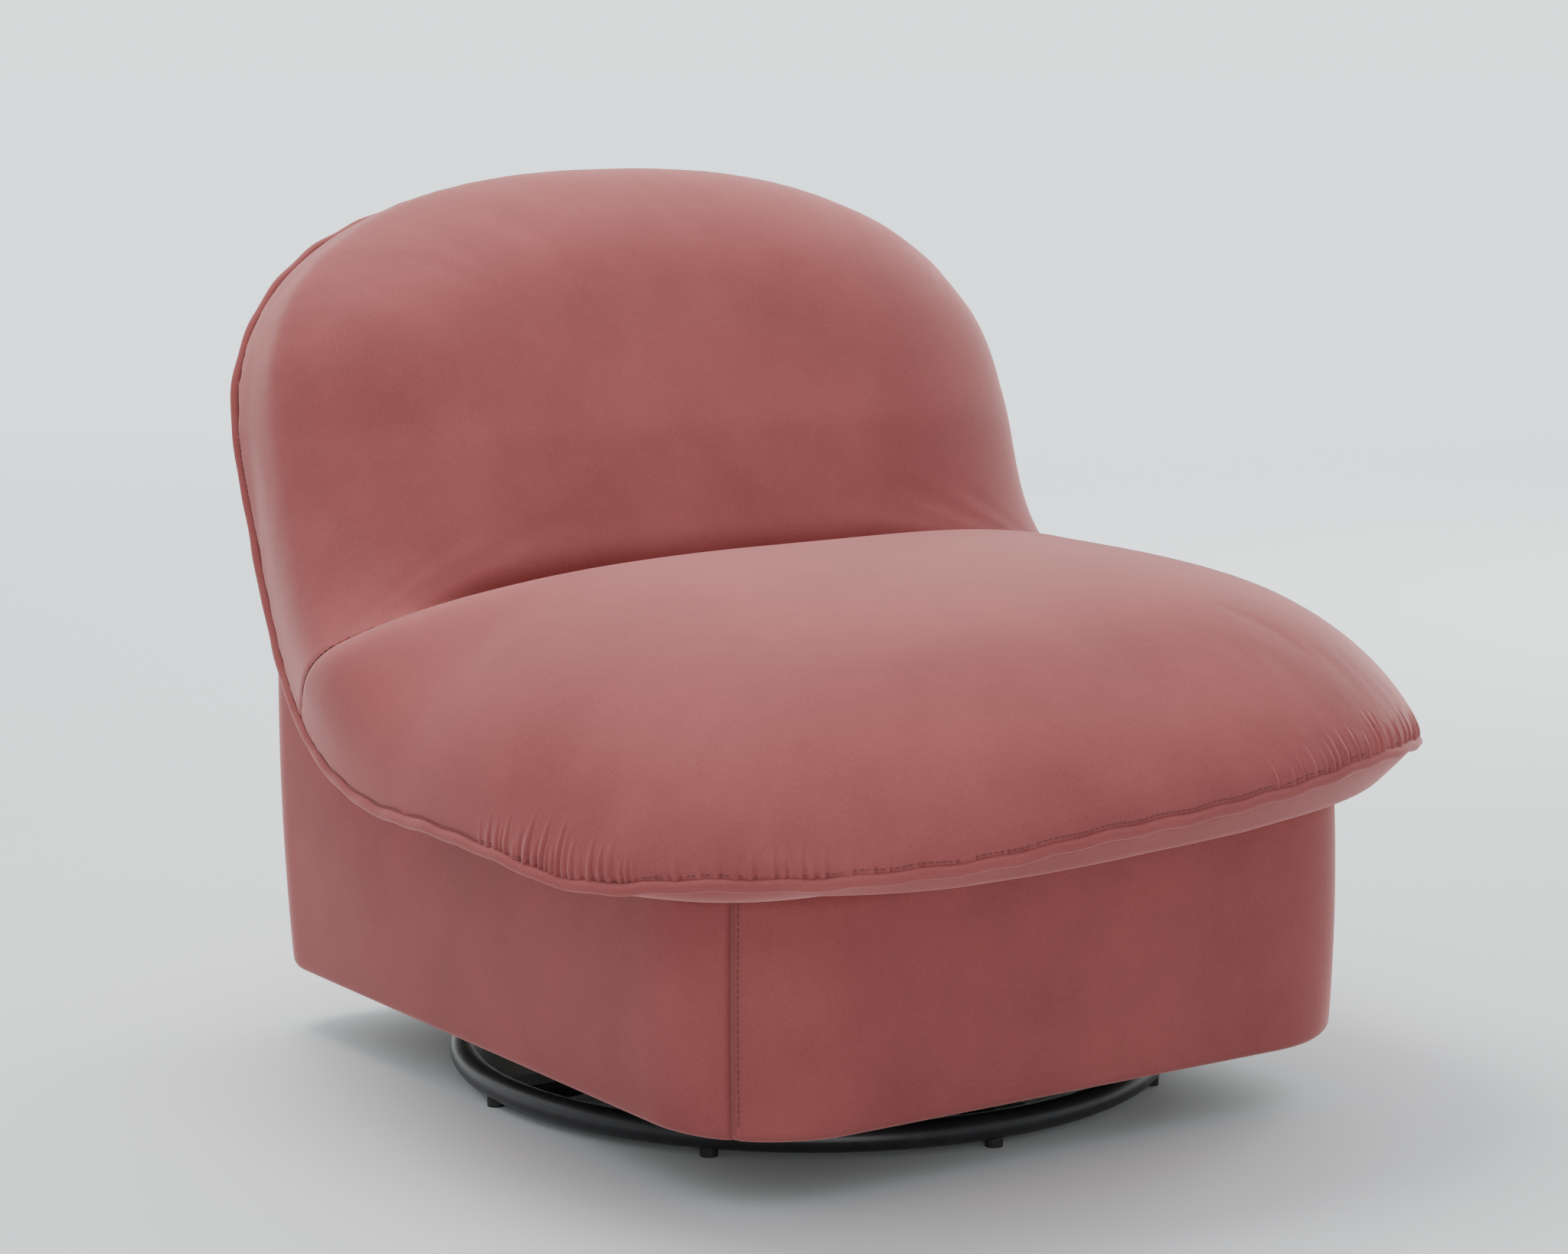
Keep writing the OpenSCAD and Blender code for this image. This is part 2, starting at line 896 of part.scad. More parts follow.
module cover_front() {
    color(velvet) placed()
        intersection() {
            box_skin(seat_top_z);
            plan_prism([flip(front_corner), flip(front_out), front_out, front_corner]);
        }
}

module cover_side() {
    color(velvet) placed()
        intersection() {
            box_skin(rear_top_z);
            plan_prism([front_corner, front_out, rear_out, rear_corner]);
            side_profile(0, far, [
                [-far, 0],
                [-far, seat_top_z],
                [wedge_y[0], seat_top_z],
                [wedge_y[1], rear_top_z],
                [far, rear_top_z],
                [far, 0]
            ]);
        }
}

module cover_left() { mirror([1, 0, 0]) cover_side(); }
module cover_right() { cover_side(); }

module cover_rear() {
    color(velvet) placed()
        intersection() {
            box_skin(rear_top_z);
            plan_prism([flip(rear_corner), rear_corner, rear_out, flip(rear_out)]);
        }
}

// ---- Padded shell ----

function mitre(z) = mitre_y - mitre_slope * (z - mitre_z);
function rearward(y) = (y - widest_y) / (bend_mid[0] - widest_y);
function welt_half(y) = seat_half - (seat_half - welt_bend(1, 0.5)[0]) * pow(rearward(y), 2);
function seat_edge(y) = y > widest_y
    ? seat_welt_z + (bend_mid[1] - seat_welt_z) * pow(rearward(y), 2)
    : seat_welt_z + (front_welt_z - seat_welt_z) * pow((widest_y - y) / (seat_front + widest_y), 2);
function seat_rear(a) = let (y = widest_y + (seat_rear_y - widest_y) * sqrt(-sin(a)))
    [-welt_half(y) * power(cos(a), corner_share), y];
function seat_outline(a) = let (p = welt_front(a)) sin(a) < 0 ? seat_rear(a) : [p[0], p[1]];

// One ring of the seat: the outline drawn in to a share, at a share of the way to the crown
function seat_ring(share, rise) = [for (i = [0:ring_points - 1])
    let (
        p = seat_outline(360 * i / ring_points),
        edge = seat_edge(p[1]),
        z = edge + (seat_crown_z - edge) * rise,
        y = widest_y + (p[1] - widest_y) * share
    )
    [p[0] * share, min(y, mitre(z) - shell_gap, seat_rear_y), z]
];
function seat_floor(share, z) = [for (i = [0:ring_points - 1])
    let (p = seat_outline(360 * i / ring_points))
    [p[0] * share, widest_y + (p[1] - widest_y) * share, z]
];

module seat_cushion() {
    color(velvet) placed()
        loft(concat(
            [seat_floor(seat_floor_share, seat_floor_z)],
            [seat_floor(seat_edge_share, seat_floor_z + seat_edge_rise)],
            [for (a = [0:pad_turn:pad_last])
                seat_ring(seat_share * pow(cos(a), seat_side), pow(sin(a), seat_top))],
            [seat_ring(pad_pole, 1)]
        ));
}

// The rear of the shell: straight up the lean above the bend's end, round the bend below it
function spine_t(v) = 1 + v / bend_len;
function spine_half(v) = v < 0 ? welt_bend(1, spine_t(v))[0] : back_half;
function on_spine(x, v, n) = v >= 0 ? on_back(x, v, n) : let (
        p = bezier(bend, spine_t(v)),
        along = unit(bezier(bend, spine_t(v) + bend_step) - bezier(bend, spine_t(v) - bend_step))
    )
    [x, p[0] - n * along[1], p[1] + n * along[0]];
function back_outline(a) = sin(a) < 0
    ? let (v = -back_foot * sqrt(-sin(a))) [spine_half(v) * power(cos(a), corner_share), v]
    : [back_half * power(cos(a), 2 / back_power), arch_h * power(sin(a), 2 / back_power)];

// One ring of the back: drawn in to a share, at a depth that shrinks towards the mitre
function back_ring(share, swell, depth) = [for (i = [0:ring_points - 1])
    let (
        q = back_outline(360 * i / ring_points),
        v = q[1] * (q[1] < 0 ? back_low_share + (1 - back_low_share) * min(share, 1) : share),
        deep = depth * (1 - mitre_thin * smooth(min(1, max(0, -v / back_foot)))),
        p = on_spine(q[0] * share * swell, v, deep),
        lift = mitre_z + (mitre_y - p[1]) / mitre_slope + shell_gap
    )
    [p[0], p[1], max(p[2], lift)]
];

module back_cushion() {
    color(velvet) placed()
        loft(concat(
            [back_ring(back_rear_share, 1, back_start)],
            [back_ring(back_edge_share, 1, back_start + back_edge_rise)],
            [for (a = [pad_turn:pad_turn:pad_last]) back_ring(
                back_share * pow(cos(a), back_side),
                back_swell,
                back_depth * (back_edge_depth + (1 - back_edge_depth) * sin(a))
            )],
            [back_ring(pad_pole, 1, back_depth)]
        ));
}

function rear_outline(a) = sin(a) < 0
    ? [back_half * power(cos(a), corner_share), -rear_panel_foot * pow(-sin(a), corner_share)]
    : [back_half * power(cos(a), 2 / back_power), arch_h * power(sin(a), 2 / back_power)];

// The thin padded panel that closes the rear of the back, down to the top of the box
module rear_panel() {
    color(velvet) placed()
        lean()
            rotate([90, 0, 0])
                translate([0, 0, -frame_t / 2 - rear_panel_t - shell_gap])
                    linear_extrude(rear_panel_t)
                        polygon([for (i = [0:ring_points - 1])
                            rear_share * rear_outline(360 * i / ring_points)]);
}

module welt_cord() {
    color(velvet) placed()
        tube_loop(welt_path, welt_r, 8);
}

floor_ring();
ring_feet();
spoke_left();
spoke_right();
spoke_front();
spoke_rear();
hub_plate();
lower_race();
race_bolts();
king_pin();
king_nut();
bearing_balls();
ball_cage();
upper_race();
cross_member_front();
cross_member_rear();
carriage_bolts();
carriage_rails();
pivot_post_front_left();
pivot_post_front_right();
pivot_post_rear_left();
pivot_post_rear_right();
upper_pivot_pins();
link_front_left();
link_front_right();
link_rear_left();
link_rear_right();
bushes_front_left();
bushes_front_right();
bushes_rear_left();
bushes_rear_right();
hanger_left();
hanger_right();
lower_pivot_pins();
hanger_screws();
hanger_cleats();
frame_side_left();
frame_side_right();
frame_front();
frame_rear();
corner_formers();
seat_rail_front();
seat_rail_rear();
seat_springs();
spring_clips();
deck_pad();
dust_cover();
back_post_left();
back_post_right();
back_top_rail();
back_lower_rail();
back_webbing();
cover_front();
cover_left();
cover_right();
cover_rear();
seat_cushion();
back_cushion();
rear_panel();
welt_cord();
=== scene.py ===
import math

import bmesh
import bpy
import numpy as np
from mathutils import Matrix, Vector
from mathutils.kdtree import KDTree


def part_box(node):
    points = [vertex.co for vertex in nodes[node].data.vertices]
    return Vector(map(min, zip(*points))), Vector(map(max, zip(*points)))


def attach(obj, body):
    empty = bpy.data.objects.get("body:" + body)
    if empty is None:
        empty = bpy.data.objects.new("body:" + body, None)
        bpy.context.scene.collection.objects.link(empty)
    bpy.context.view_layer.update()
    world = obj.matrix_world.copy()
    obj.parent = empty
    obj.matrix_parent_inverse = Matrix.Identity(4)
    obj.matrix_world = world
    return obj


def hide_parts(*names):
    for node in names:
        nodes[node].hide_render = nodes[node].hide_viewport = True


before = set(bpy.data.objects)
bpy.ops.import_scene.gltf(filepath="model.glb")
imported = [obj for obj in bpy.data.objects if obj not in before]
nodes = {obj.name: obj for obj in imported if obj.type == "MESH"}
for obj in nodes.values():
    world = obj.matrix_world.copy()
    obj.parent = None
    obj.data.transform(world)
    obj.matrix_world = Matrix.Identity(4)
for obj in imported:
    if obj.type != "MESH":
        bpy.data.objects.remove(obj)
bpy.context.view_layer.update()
ringLow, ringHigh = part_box("floor_ring")
ringCentre = (ringLow + ringHigh) / 2
rng = np.random.default_rng(7)
farAway = 9.0    # metres, for places out of reach
print("frame loaded")


# Small helpers
def smooth(t):
    t = np.clip(t, 0, 1)
    return t * t * (3 - 2 * t)


def power(v, e):
    return np.sign(v) * np.abs(v) ** e


def bell(x, middle, spread):
    return np.exp(-((x - middle) / spread) ** 2)


def unit(v):
    return v / np.maximum(np.linalg.norm(v, axis=-1, keepdims=True), 1e-9)


def deselectAll():
    if bpy.context.object and bpy.context.object.mode != "OBJECT":
        bpy.ops.object.mode_set(mode="OBJECT")
    bpy.ops.object.select_all(action="DESELECT")


def pick(piece):
    deselectAll()
    piece.select_set(True)
    bpy.context.view_layer.objects.active = piece


def applyModifiers(piece):
    pick(piece)
    for modifier in list(piece.modifiers):
        bpy.ops.object.modifier_apply(modifier=modifier.name)


def points(piece):
    found = np.empty(len(piece.data.vertices) * 3)
    piece.data.vertices.foreach_get("co", found)
    return found.reshape(-1, 3)


def normals(piece):
    found = np.empty(len(piece.data.vertices) * 3)
    piece.data.vertices.foreach_get("normal", found)
    return found.reshape(-1, 3)


def setPoints(piece, places):
    piece.data.vertices.foreach_set("co", np.asarray(places, float).ravel())
    piece.data.update()


def addObject(name, data):
    added = bpy.data.objects.new(name, data)
    bpy.context.scene.collection.objects.link(added)
    return added


def newPiece(name, places, faces):
    mesh = bpy.data.meshes.new(name)
    mesh.from_pydata([tuple(p) for p in places], [], faces)
    mesh.update()
    return addObject(name, mesh)


def faceOutwards(piece, merge=None):
    pick(piece)
    bpy.ops.object.mode_set(mode="EDIT")
    bpy.ops.mesh.select_all(action="SELECT")
    if merge:
        bpy.ops.mesh.remove_doubles(threshold=merge)
    bpy.ops.mesh.normals_make_consistent(inside=False)
    bpy.ops.object.mode_set(mode="OBJECT")


def shadeSmooth(piece):
    piece.data.polygons.foreach_set("use_smooth", [True] * len(piece.data.polygons))
    piece.data.update()


def gridFaces(rows, columns, wrap):
    faces = []
    for i in range(rows - 1):
        for j in range(columns if wrap else columns - 1):
            k = (j + 1) % columns
            faces.append((i * columns + j, i * columns + k, (i + 1) * columns + k, (i + 1) * columns + j))
    return faces


# How far each point of an open path lies along it
def lengthsAlong(path):
    steps = np.linalg.norm(np.diff(path, axis=0), axis=1)
    return np.concatenate([[0], np.cumsum(steps)])


# A path's values at the wanted lengths
def valuesAt(wanted, lengths, path):
    return np.stack([np.interp(wanted, lengths, path[:, k]) for k in range(path.shape[1])], -1)


def nextLessLast(path):
    return np.roll(path, -1, axis=0) - np.roll(path, 1, axis=0)


# The nearest point of a path to each place, and how far away it is, within a reach
def nearestOn(path, places, reach):
    tree = KDTree(len(path))
    for i, p in enumerate(path):
        tree.insert(p, i)
    tree.balance()
    index = np.zeros(len(places), int)
    away = np.full(len(places), farAway)
    low, high = path.min(0) - reach, path.max(0) + reach
    close = np.where(((places > low) & (places < high)).all(1))[0]
    for i in close:
        _, index[i], away[i] = tree.find(places[i])
    return index, away


# The shell's outline: sizes in metres from the ring's centre, front towards -Y
shell = {
    "seatHalf": 0.410, "backHalf": 0.347, "widest": -0.060, "front": 0.475,
    "seatPower": 2.8, "backPower": 2.4, "lean": math.radians(14), "backTop": 0.715,
    "sideHeight": 0.262, "rise": 0.043, "riseAt": 118, "riseSpread": 38,
    "dip": 0.013, "dipAt": 21, "dipSpread": 15, "liftFrom": 0.35,
    "bend": ((-0.060, 0.262), (0.140, 0.254), (0.290, 0.330), (0.345, 0.500)), "narrowing": 1.04,
    "points": 1400,
}
archHeight = (shell["backTop"] - shell["bend"][3][1]) / math.cos(shell["lean"])


def bezier(t):
    t = np.asarray(t, float)[..., None]
    a, b, c, d = (np.array(p) for p in shell["bend"])
    return (1 - t) ** 3 * a + 3 * t * (1 - t) ** 2 * b + 3 * t * t * (1 - t) * c + t ** 3 * d


# A point on the leaning back: x across, v up the lean, n forwards from the welt
def onBack(x, v, n):
    c, s = math.cos(shell["lean"]), math.sin(shell["lean"])
    endY, endZ = shell["bend"][3]
    return np.stack([x, endY + v * s - n * c, endZ + v * c + n * s], -1)


def weltFront(angle):
    c, s = np.cos(np.radians(angle)), np.sin(np.radians(angle))
    x = -shell["seatHalf"] * power(c, 2 / shell["seatPower"])
    y = shell["widest"] - (shell["front"] + shell["widest"]) * power(s, 2 / shell["seatPower"])
    lift = shell["rise"] * bell(angle, shell["riseAt"], shell["riseSpread"])
    lift = lift - shell["dip"] * bell(angle, shell["dipAt"], shell["dipSpread"])
    return np.stack([x, y, shell["sideHeight"] + lift * smooth(np.abs(s) / shell["liftFrom"])], -1)


def bendHalf(t):
    narrower = smooth(np.asarray(t) * shell["narrowing"])
    return shell["seatHalf"] + (shell["backHalf"] - shell["seatHalf"]) * narrower


def weltBend(side, t):
    place = bezier(t)
    return np.stack([side * bendHalf(t), place[..., 0], place[..., 1]], -1)


def weltArch(angle):
    c, s = np.cos(np.radians(angle)), np.sin(np.radians(angle))
    return onBack(shell["backHalf"] * power(c, 2 / shell["backPower"]),
                  archHeight * power(s, 2 / shell["backPower"]), 0 * c)


# Spaces a closed path's points evenly along it
def evenly(path, count):
    closed = np.vstack([path, path[:1]])
    along = lengthsAlong(closed)
    wanted = np.linspace(0, along[-1], count, endpoint=False)
    return valuesAt(wanted, along, closed), along[-1]


def toFrame(places):
    return np.asarray(places) + np.array([ringCentre.x, ringCentre.y, 0])


fine = np.linspace(0, 1, 301)
rawWelt = np.vstack([weltFront(fine * 180), weltBend(1, fine[1:]), weltArch(fine[1:] * 180),
                     weltBend(-1, 1 - fine[1:-1])])
welt, weltLength = evenly(rawWelt, shell["points"])
weltRow = toFrame(welt)
weltMiddle = welt.mean(0)
frontMark = welt[:, 1] < shell["widest"]
weltAngle = np.degrees(np.arctan2(-(welt[:, 1] - shell["widest"]) / (shell["front"] + shell["widest"]),
                                  -welt[:, 0] / shell["seatHalf"]))
sideLine = bezier(fine)    # the bend seen from the side: y and z
print("welt runs", round(float(weltLength), 3), "m")


# Cloth simulation, and how much of its fine wrinkling is kept
swelling = {"pressure": 4.0, "frames": 20, "quality": 4, "calmPasses": 40, "wrinkles": 0.22}


# Keeps a movement's broad swell and only a share of its fine wrinkles
def calm(piece, shift, held):
    ends = np.empty(len(piece.data.edges) * 2, int)
    piece.data.edges.foreach_get("vertices", ends)
    first, second = ends.reshape(-1, 2).T
    many = np.bincount(ends, minlength=len(shift))[:, None]
    broad = shift.copy()
    for _ in range(swelling["calmPasses"]):
        total = [np.bincount(first, broad[second, k], len(shift))
                 + np.bincount(second, broad[first, k], len(shift)) for k in range(3)]
        broad = np.stack(total, -1) / np.maximum(many, 1)
        broad[held] = 0
    return broad + (shift - broad) * swelling["wrinkles"]


# The piece swells under pressure where it isn't held, by no more than the reach
def inflate(piece, held, reach):
    start = points(piece)
    group = piece.vertex_groups.new(name="held")
    group.add([int(i) for i in np.where(held)[0]], 1.0, "REPLACE")
    cloth = piece.modifiers.new("cloth", "CLOTH")
    cloth.settings.use_pressure = True
    cloth.settings.uniform_pressure_force = swelling["pressure"]
    cloth.settings.effector_weights.gravity = 0
    cloth.settings.vertex_group_mass = "held"
    cloth.settings.quality = swelling["quality"]
    cloth.point_cache.frame_start = 1
    cloth.point_cache.frame_end = swelling["frames"]
    scene = bpy.context.scene
    for step in range(1, swelling["frames"] + 1):
        scene.frame_set(step)
    evaluated = piece.evaluated_get(bpy.context.evaluated_depsgraph_get())
    moved = np.empty(len(start) * 3)
    evaluated.data.vertices.foreach_get("co", moved)
    moved = moved.reshape(-1, 3)
    piece.modifiers.remove(cloth)
    piece.vertex_groups.remove(group)
    scene.frame_set(1)
    shift = moved - start
    size = np.linalg.norm(shift, axis=1, keepdims=True)
    print(piece.name, "swells at most", round(float(size.max()) * 1000, 1), "mm before its limit")
    shift *= reach * np.tanh(size / reach) / np.maximum(size, 1e-9)
    setPoints(piece, start + calm(piece, shift, held))


def easePoints(piece, passes):
    ease = piece.modifiers.new("ease", "SMOOTH")
    ease.factor = 0.5
    ease.iterations = passes
    applyModifiers(piece)


def evenMesh(piece, voxel, passes):
    remesh = piece.modifiers.new("even", "REMESH")
    remesh.mode = "VOXEL"
    remesh.voxel_size = voxel
    applyModifiers(piece)
    easePoints(piece, passes)


def subdivide(piece, levels):
    finer = piece.modifiers.new("finer", "SUBSURF")
    finer.levels = levels
    finer.render_levels = levels
    applyModifiers(piece)


def thicken(piece, thickness):
    wall = piece.modifiers.new("wall", "SOLIDIFY")
    wall.thickness = thickness
    wall.offset = -1
    applyModifiers(piece)


# Finer faces where the cloth is gathered
def refine(piece, chosen):
    mesh = bmesh.new()
    mesh.from_mesh(piece.data)
    mesh.verts.ensure_lookup_table()
    edges = [e for e in mesh.edges if chosen[e.verts[0].index] and chosen[e.verts[1].index]]
    bmesh.ops.subdivide_edges(mesh, edges=edges, cuts=1, use_grid_fill=True, smooth=0.0)
    mesh.to_mesh(piece.data)
    mesh.free()
    piece.data.update()


# The box's plan: straight sides, wide front corners and tight rear corners
boxPlan = {
    "half": 0.317, "front": -0.3595, "rear": 0.3595, "frontRadius": 0.109, "rearRadius": 0.048,
    "bottom": 0.054, "seatTop": 0.240, "rearTop": 0.330, "wedge": (0.160, 0.305),
    "rightTop": 0.014, "flare": 0.008, "bulge": 0.005, "roll": 0.010, "hem": 0.020, "skin": 0.0055,
    "frontSeam": 50, "rearSeam": 45, "cornerPoints": 61, "step": 0.006, "rows": 34,
    "over": 0.004, "tuck": 0.006, "pinch": 0.0024, "pinchWidth": 0.0045,
}


# How far the top of the box stands higher towards its right front
def rightRise(x, y):
    return boxPlan["rightTop"] * smooth((x + 0.25) / 0.5) * smooth((0.1 - y) / 0.4)


# Seat and back pads: one swelling form on the welt, later cut into two pads along the mitre
seat = {
    "crown": 0.440, "mitreY": 0.183, "mitreZ": 0.289, "mitreSlope": 0.89, "bottom": 0.2445,
    "side": 0.8, "top": 0.95, "rightLift": 0.012, "crease": (0.086, 0.400), "fall": 2.6,
    "fullLeft": 1.0, "fullRight": 0.3, "fullFront": 0.45, "fullFrom": 42,
}
back = {
    "depth": 0.197, "share": 1.066, "shareFrom": 0.3, "side": 0.5, "top": 0.6, "start": 0.0125,
    "slant": 0.22, "over": 0.034, "overLow": 0.096, "overRoll": 0.8, "overFade": 1.5, "right": 0.013,
    "line": ((0.112, 0.450), (0.140, 0.520)),
}
padding = {
    "voxel": 0.0058, "merge": 0.0003, "ease": 4, "easeAfter": 2, "reach": 0.010,
    "around": 150, "up": 26, "edge": 1.004,
    "floor": ((0, 1), (0.2, 1), (0.4, 1), (0.6, 1), (0.8, 1), (0.93, 0.85), (0.98, 0.3)),
    "holdWelt": 0.014, "holdRear": 0.03, "holdFloor": 0.012, "holdSeam": 0.007, "halfCut": 0.0002,
}


def mitreAt(z):
    return seat["mitreY"] - seat["mitreSlope"] * (z - seat["mitreZ"])


# Columns round the welt: each rises from its place on the welt to a place on the pads' middle line.
# They run round the front, up the right bend, over the arch and back down the left bend.
def padColumns():
    step = np.linspace(0, 1, padding["around"] + 1)
    half = np.linspace(0, 1, padding["around"] // 2 + 1)[1:]
    zero, widest = 0 * half, shell["widest"]
    endY, endZ = shell["bend"][3]
    bendY, bendZ = bezier(half).T
    mitreT = np.interp(0, bendY - mitreAt(bendZ), half)
    creaseY, creaseZ = seat["crease"]
    backTop = onBack(0, 0, back["depth"])[1:]
    backLine = np.array([seat["crease"], *back["line"], backTop])

    # up the bend the middle line runs from the seat's crown to the crease, then up the back
    onSeat = half < mitreT
    toSeat = np.clip(half / mitreT, 0, 1)
    toBack = np.clip((half - mitreT) / (1 - mitreT), 0, 1)
    run = np.clip((bendY - widest) / (np.interp(mitreT, half, bendY) - widest), 0, 1)
    seatY = widest + (creaseY - widest) * run
    seatZ = seat["crown"] - (seat["crown"] - creaseZ) * run ** seat["fall"]
    backZ = creaseZ + (backTop[1] - creaseZ) * toBack
    backY = np.interp(backZ, backLine[:, 1], backLine[:, 0])
    bendTarget = np.stack([zero, np.where(onSeat, seatY, backY), np.where(onSeat, seatZ, backZ)], -1)
    bendBase = np.stack([zero, bendY, bendZ], -1)
    bendOver = back["overLow"] * smooth(run) * (1 - toBack) + back["over"] * toBack
    bendFloor = np.where(onSeat, (seat["bottom"] - bendZ[0]) * (1 - toSeat), back["start"] * toBack)

    # how full the sides are: 0 as round as the seat, 1 as the back
    right, low = seat["fullRight"], seat["fullFront"]
    frontFull = seat["fullLeft"] * low * smooth(1 - step * 180 / seat["fullFrom"])
    rightFull = np.where(onSeat, right * smooth(run), right + (1 - right) * smooth(toBack))
    leftFull = np.where(onSeat, low + (1 - low) * smooth(run), 1) * seat["fullLeft"]

    front = weltFront(step * 180)
    frontBase = front * [0, 0, 1] + [0, widest, 0]
    frontTarget = frontBase * [1, 1, 0] + [0, 0, seat["crown"]]
    arch = weltArch(step[1:] * 180)
    one = np.ones(len(arch))
    archBase = np.tile([0, endY, endZ], (len(arch), 1))
    archTarget = np.tile([0, *backTop], (len(arch), 1))
    archOver = back["over"] * np.abs(np.cos(np.pi * step[1:])) ** back["overFade"]
    leftBend = slice(-2, None, -1)
    rightWelt = weltBend(1, half)
    leftWelt = (rightWelt * [-1, 1, 1])[leftBend]

    def chain(first, bend, last):
        return np.concatenate([first, bend, last, bend[leftBend]])

    return {
        "welt": np.concatenate([front, rightWelt, arch, leftWelt]),
        "base": chain(frontBase, bendBase, archBase),
        "target": chain(frontTarget, bendTarget, archTarget),
        "blend": chain(0 * step, smooth(toBack), one),
        "full": np.concatenate([frontFull, rightFull, one, leftFull[leftBend]]),
        "over": chain(0 * step, bendOver, archOver),
        "floor": chain(seat["bottom"] - front[:, 2], bendFloor, back["start"] * one),
        "flat": chain(0 * step, zero, one),
    }


def padRing(column, lift):
    blend, full = column["blend"], column["full"]
    s, c = math.sin(lift), max(math.cos(lift), 0)
    share = padding["edge"] * c ** (seat["side"] + (back["side"] - seat["side"]) * full)
    share = share * (1 + (back["share"] - 1) * blend * min(1, lift / back["shareFrom"]))
    rise = s ** (seat["top"] + (back["top"] - seat["top"]) * full)
    aside = share + column["over"] * max(math.sin(2 * lift), 0) ** back["overRoll"]
    out = column["welt"] - column["base"]
    up = column["target"] - column["base"]
    place = column["base"] + out * share[:, None] + up * rise[:, None]
    place[:, 0] = out[:, 0] * aside + back["right"] * rise * blend
    # the back leans a little further than its welt, and the seat stands higher on the right
    above = np.hypot(out[:, 1], out[:, 2]) * share * column["flat"] * rise * back["slant"]
    place[:, 1] += above * math.cos(shell["lean"])
    place[:, 2] -= above * math.sin(shell["lean"])
    place[:, 2] += seat["rightLift"] * (1 - blend) * rise * smooth(place[:, 0] / shell["seatHalf"])
    return toFrame(place)


def padFloor(column, share, down):
    base = column["base"]
    along = unit(column["target"] - base)
    place = base + (column["welt"] - base) * share + along * (column["floor"] * down)[:, None]
    place[:, 2] += rightRise(place[:, 0], place[:, 1]) * down
    return toFrame(place)


def padForm():
    column = padColumns()
    rings = [padFloor(column, share, down) for share, down in padding["floor"]]
    rings += [padRing(column, lift) for lift in np.linspace(0, math.pi / 2, padding["up"])]
    piece = newPiece("bothPads", np.concatenate(rings), gridFaces(len(rings), len(rings[0]), True))
    faceOutwards(piece, padding["merge"])
    evenMesh(piece, padding["voxel"], padding["ease"])
    return piece


# How far a place is from the mitre plane, positive on the back's side
def fromMitre(place):
    y = place[:, 1] - ringCentre.y
    return (y - mitreAt(place[:, 2])) / math.hypot(1, seat["mitreSlope"])


def bendFloorAt(place):
    return np.interp(place[:, 1] - ringCentre.y, sideLine[:, 0], sideLine[:, 1])


# The pads swell except along the welt, the rear, the underside and the mitre
def swellPads(piece):
    place = points(piece)
    _, away = nearestOn(weltRow, place, 0.03)
    endY, endZ = shell["bend"][3]
    leanPlane = endY + (place[:, 2] - endZ) * math.tan(shell["lean"])
    held = (away < padding["holdWelt"]) | (place[:, 1] - ringCentre.y > leanPlane - padding["holdRear"])
    held |= place[:, 2] < bendFloorAt(place) + padding["holdFloor"]
    held |= np.abs(fromMitre(place)) < padding["holdSeam"]
    inflate(piece, held, padding["reach"])
    easePoints(piece, padding["easeAfter"])
    subdivide(piece, 1)


# The stitched mitre: a fine seam low at the sides, drawn in deeper towards the middle
crease = {"fine": 0.0016, "fineWidth": 0.0028, "soft": 0.011, "softWidth": 0.017, "softHalf": 0.33,
          "softFade": 0.10, "aboveFloor": 0.004}


def drawCrease(piece):
    place = points(piece)
    gap = fromMitre(place)
    middle = smooth((crease["softHalf"] - np.abs(place[:, 0])) / crease["softFade"])
    draw = crease["fine"] * bell(gap, 0, crease["fineWidth"])
    draw += crease["soft"] * middle * bell(gap, 0, crease["softWidth"])
    draw[place[:, 2] <= bendFloorAt(place) + crease["aboveFloor"]] = 0
    setPoints(piece, place - normals(piece) * draw[:, None])


# Cuts a closed pad along the mitre plane and closes the cut
def cutPad(source, name, keepBack):
    piece = addObject(name, source.data.copy())
    piece.data.name = name
    mesh = bmesh.new()
    mesh.from_mesh(piece.data)
    normal = Vector((0, 1, seat["mitreSlope"])).normalized()
    start = Vector((0, seat["mitreY"] + ringCentre.y, seat["mitreZ"]))
    start += normal * padding["halfCut"] * (1 if keepBack else -1)
    bmesh.ops.bisect_plane(mesh, geom=mesh.verts[:] + mesh.edges[:] + mesh.faces[:], plane_co=start,
                           plane_no=normal, clear_inner=keepBack, clear_outer=not keepBack)
    rim = [e for e in mesh.edges if e.is_boundary]
    bmesh.ops.triangle_fill(mesh, edges=rim, use_beauty=False, use_dissolve=False)
    bmesh.ops.recalc_face_normals(mesh, faces=mesh.faces)
    mesh.to_mesh(piece.data)
    mesh.free()
    return piece


bothPads = padForm()
swellPads(bothPads)
print("pads swelled", len(bothPads.data.polygons))
drawCrease(bothPads)
seatPad = cutPad(bothPads, "seatPad", False)
backPad = cutPad(bothPads, "backPad", True)
bpy.data.objects.remove(bothPads)
print("seat pad", len(seatPad.data.polygons), "back pad", len(backPad.data.polygons))


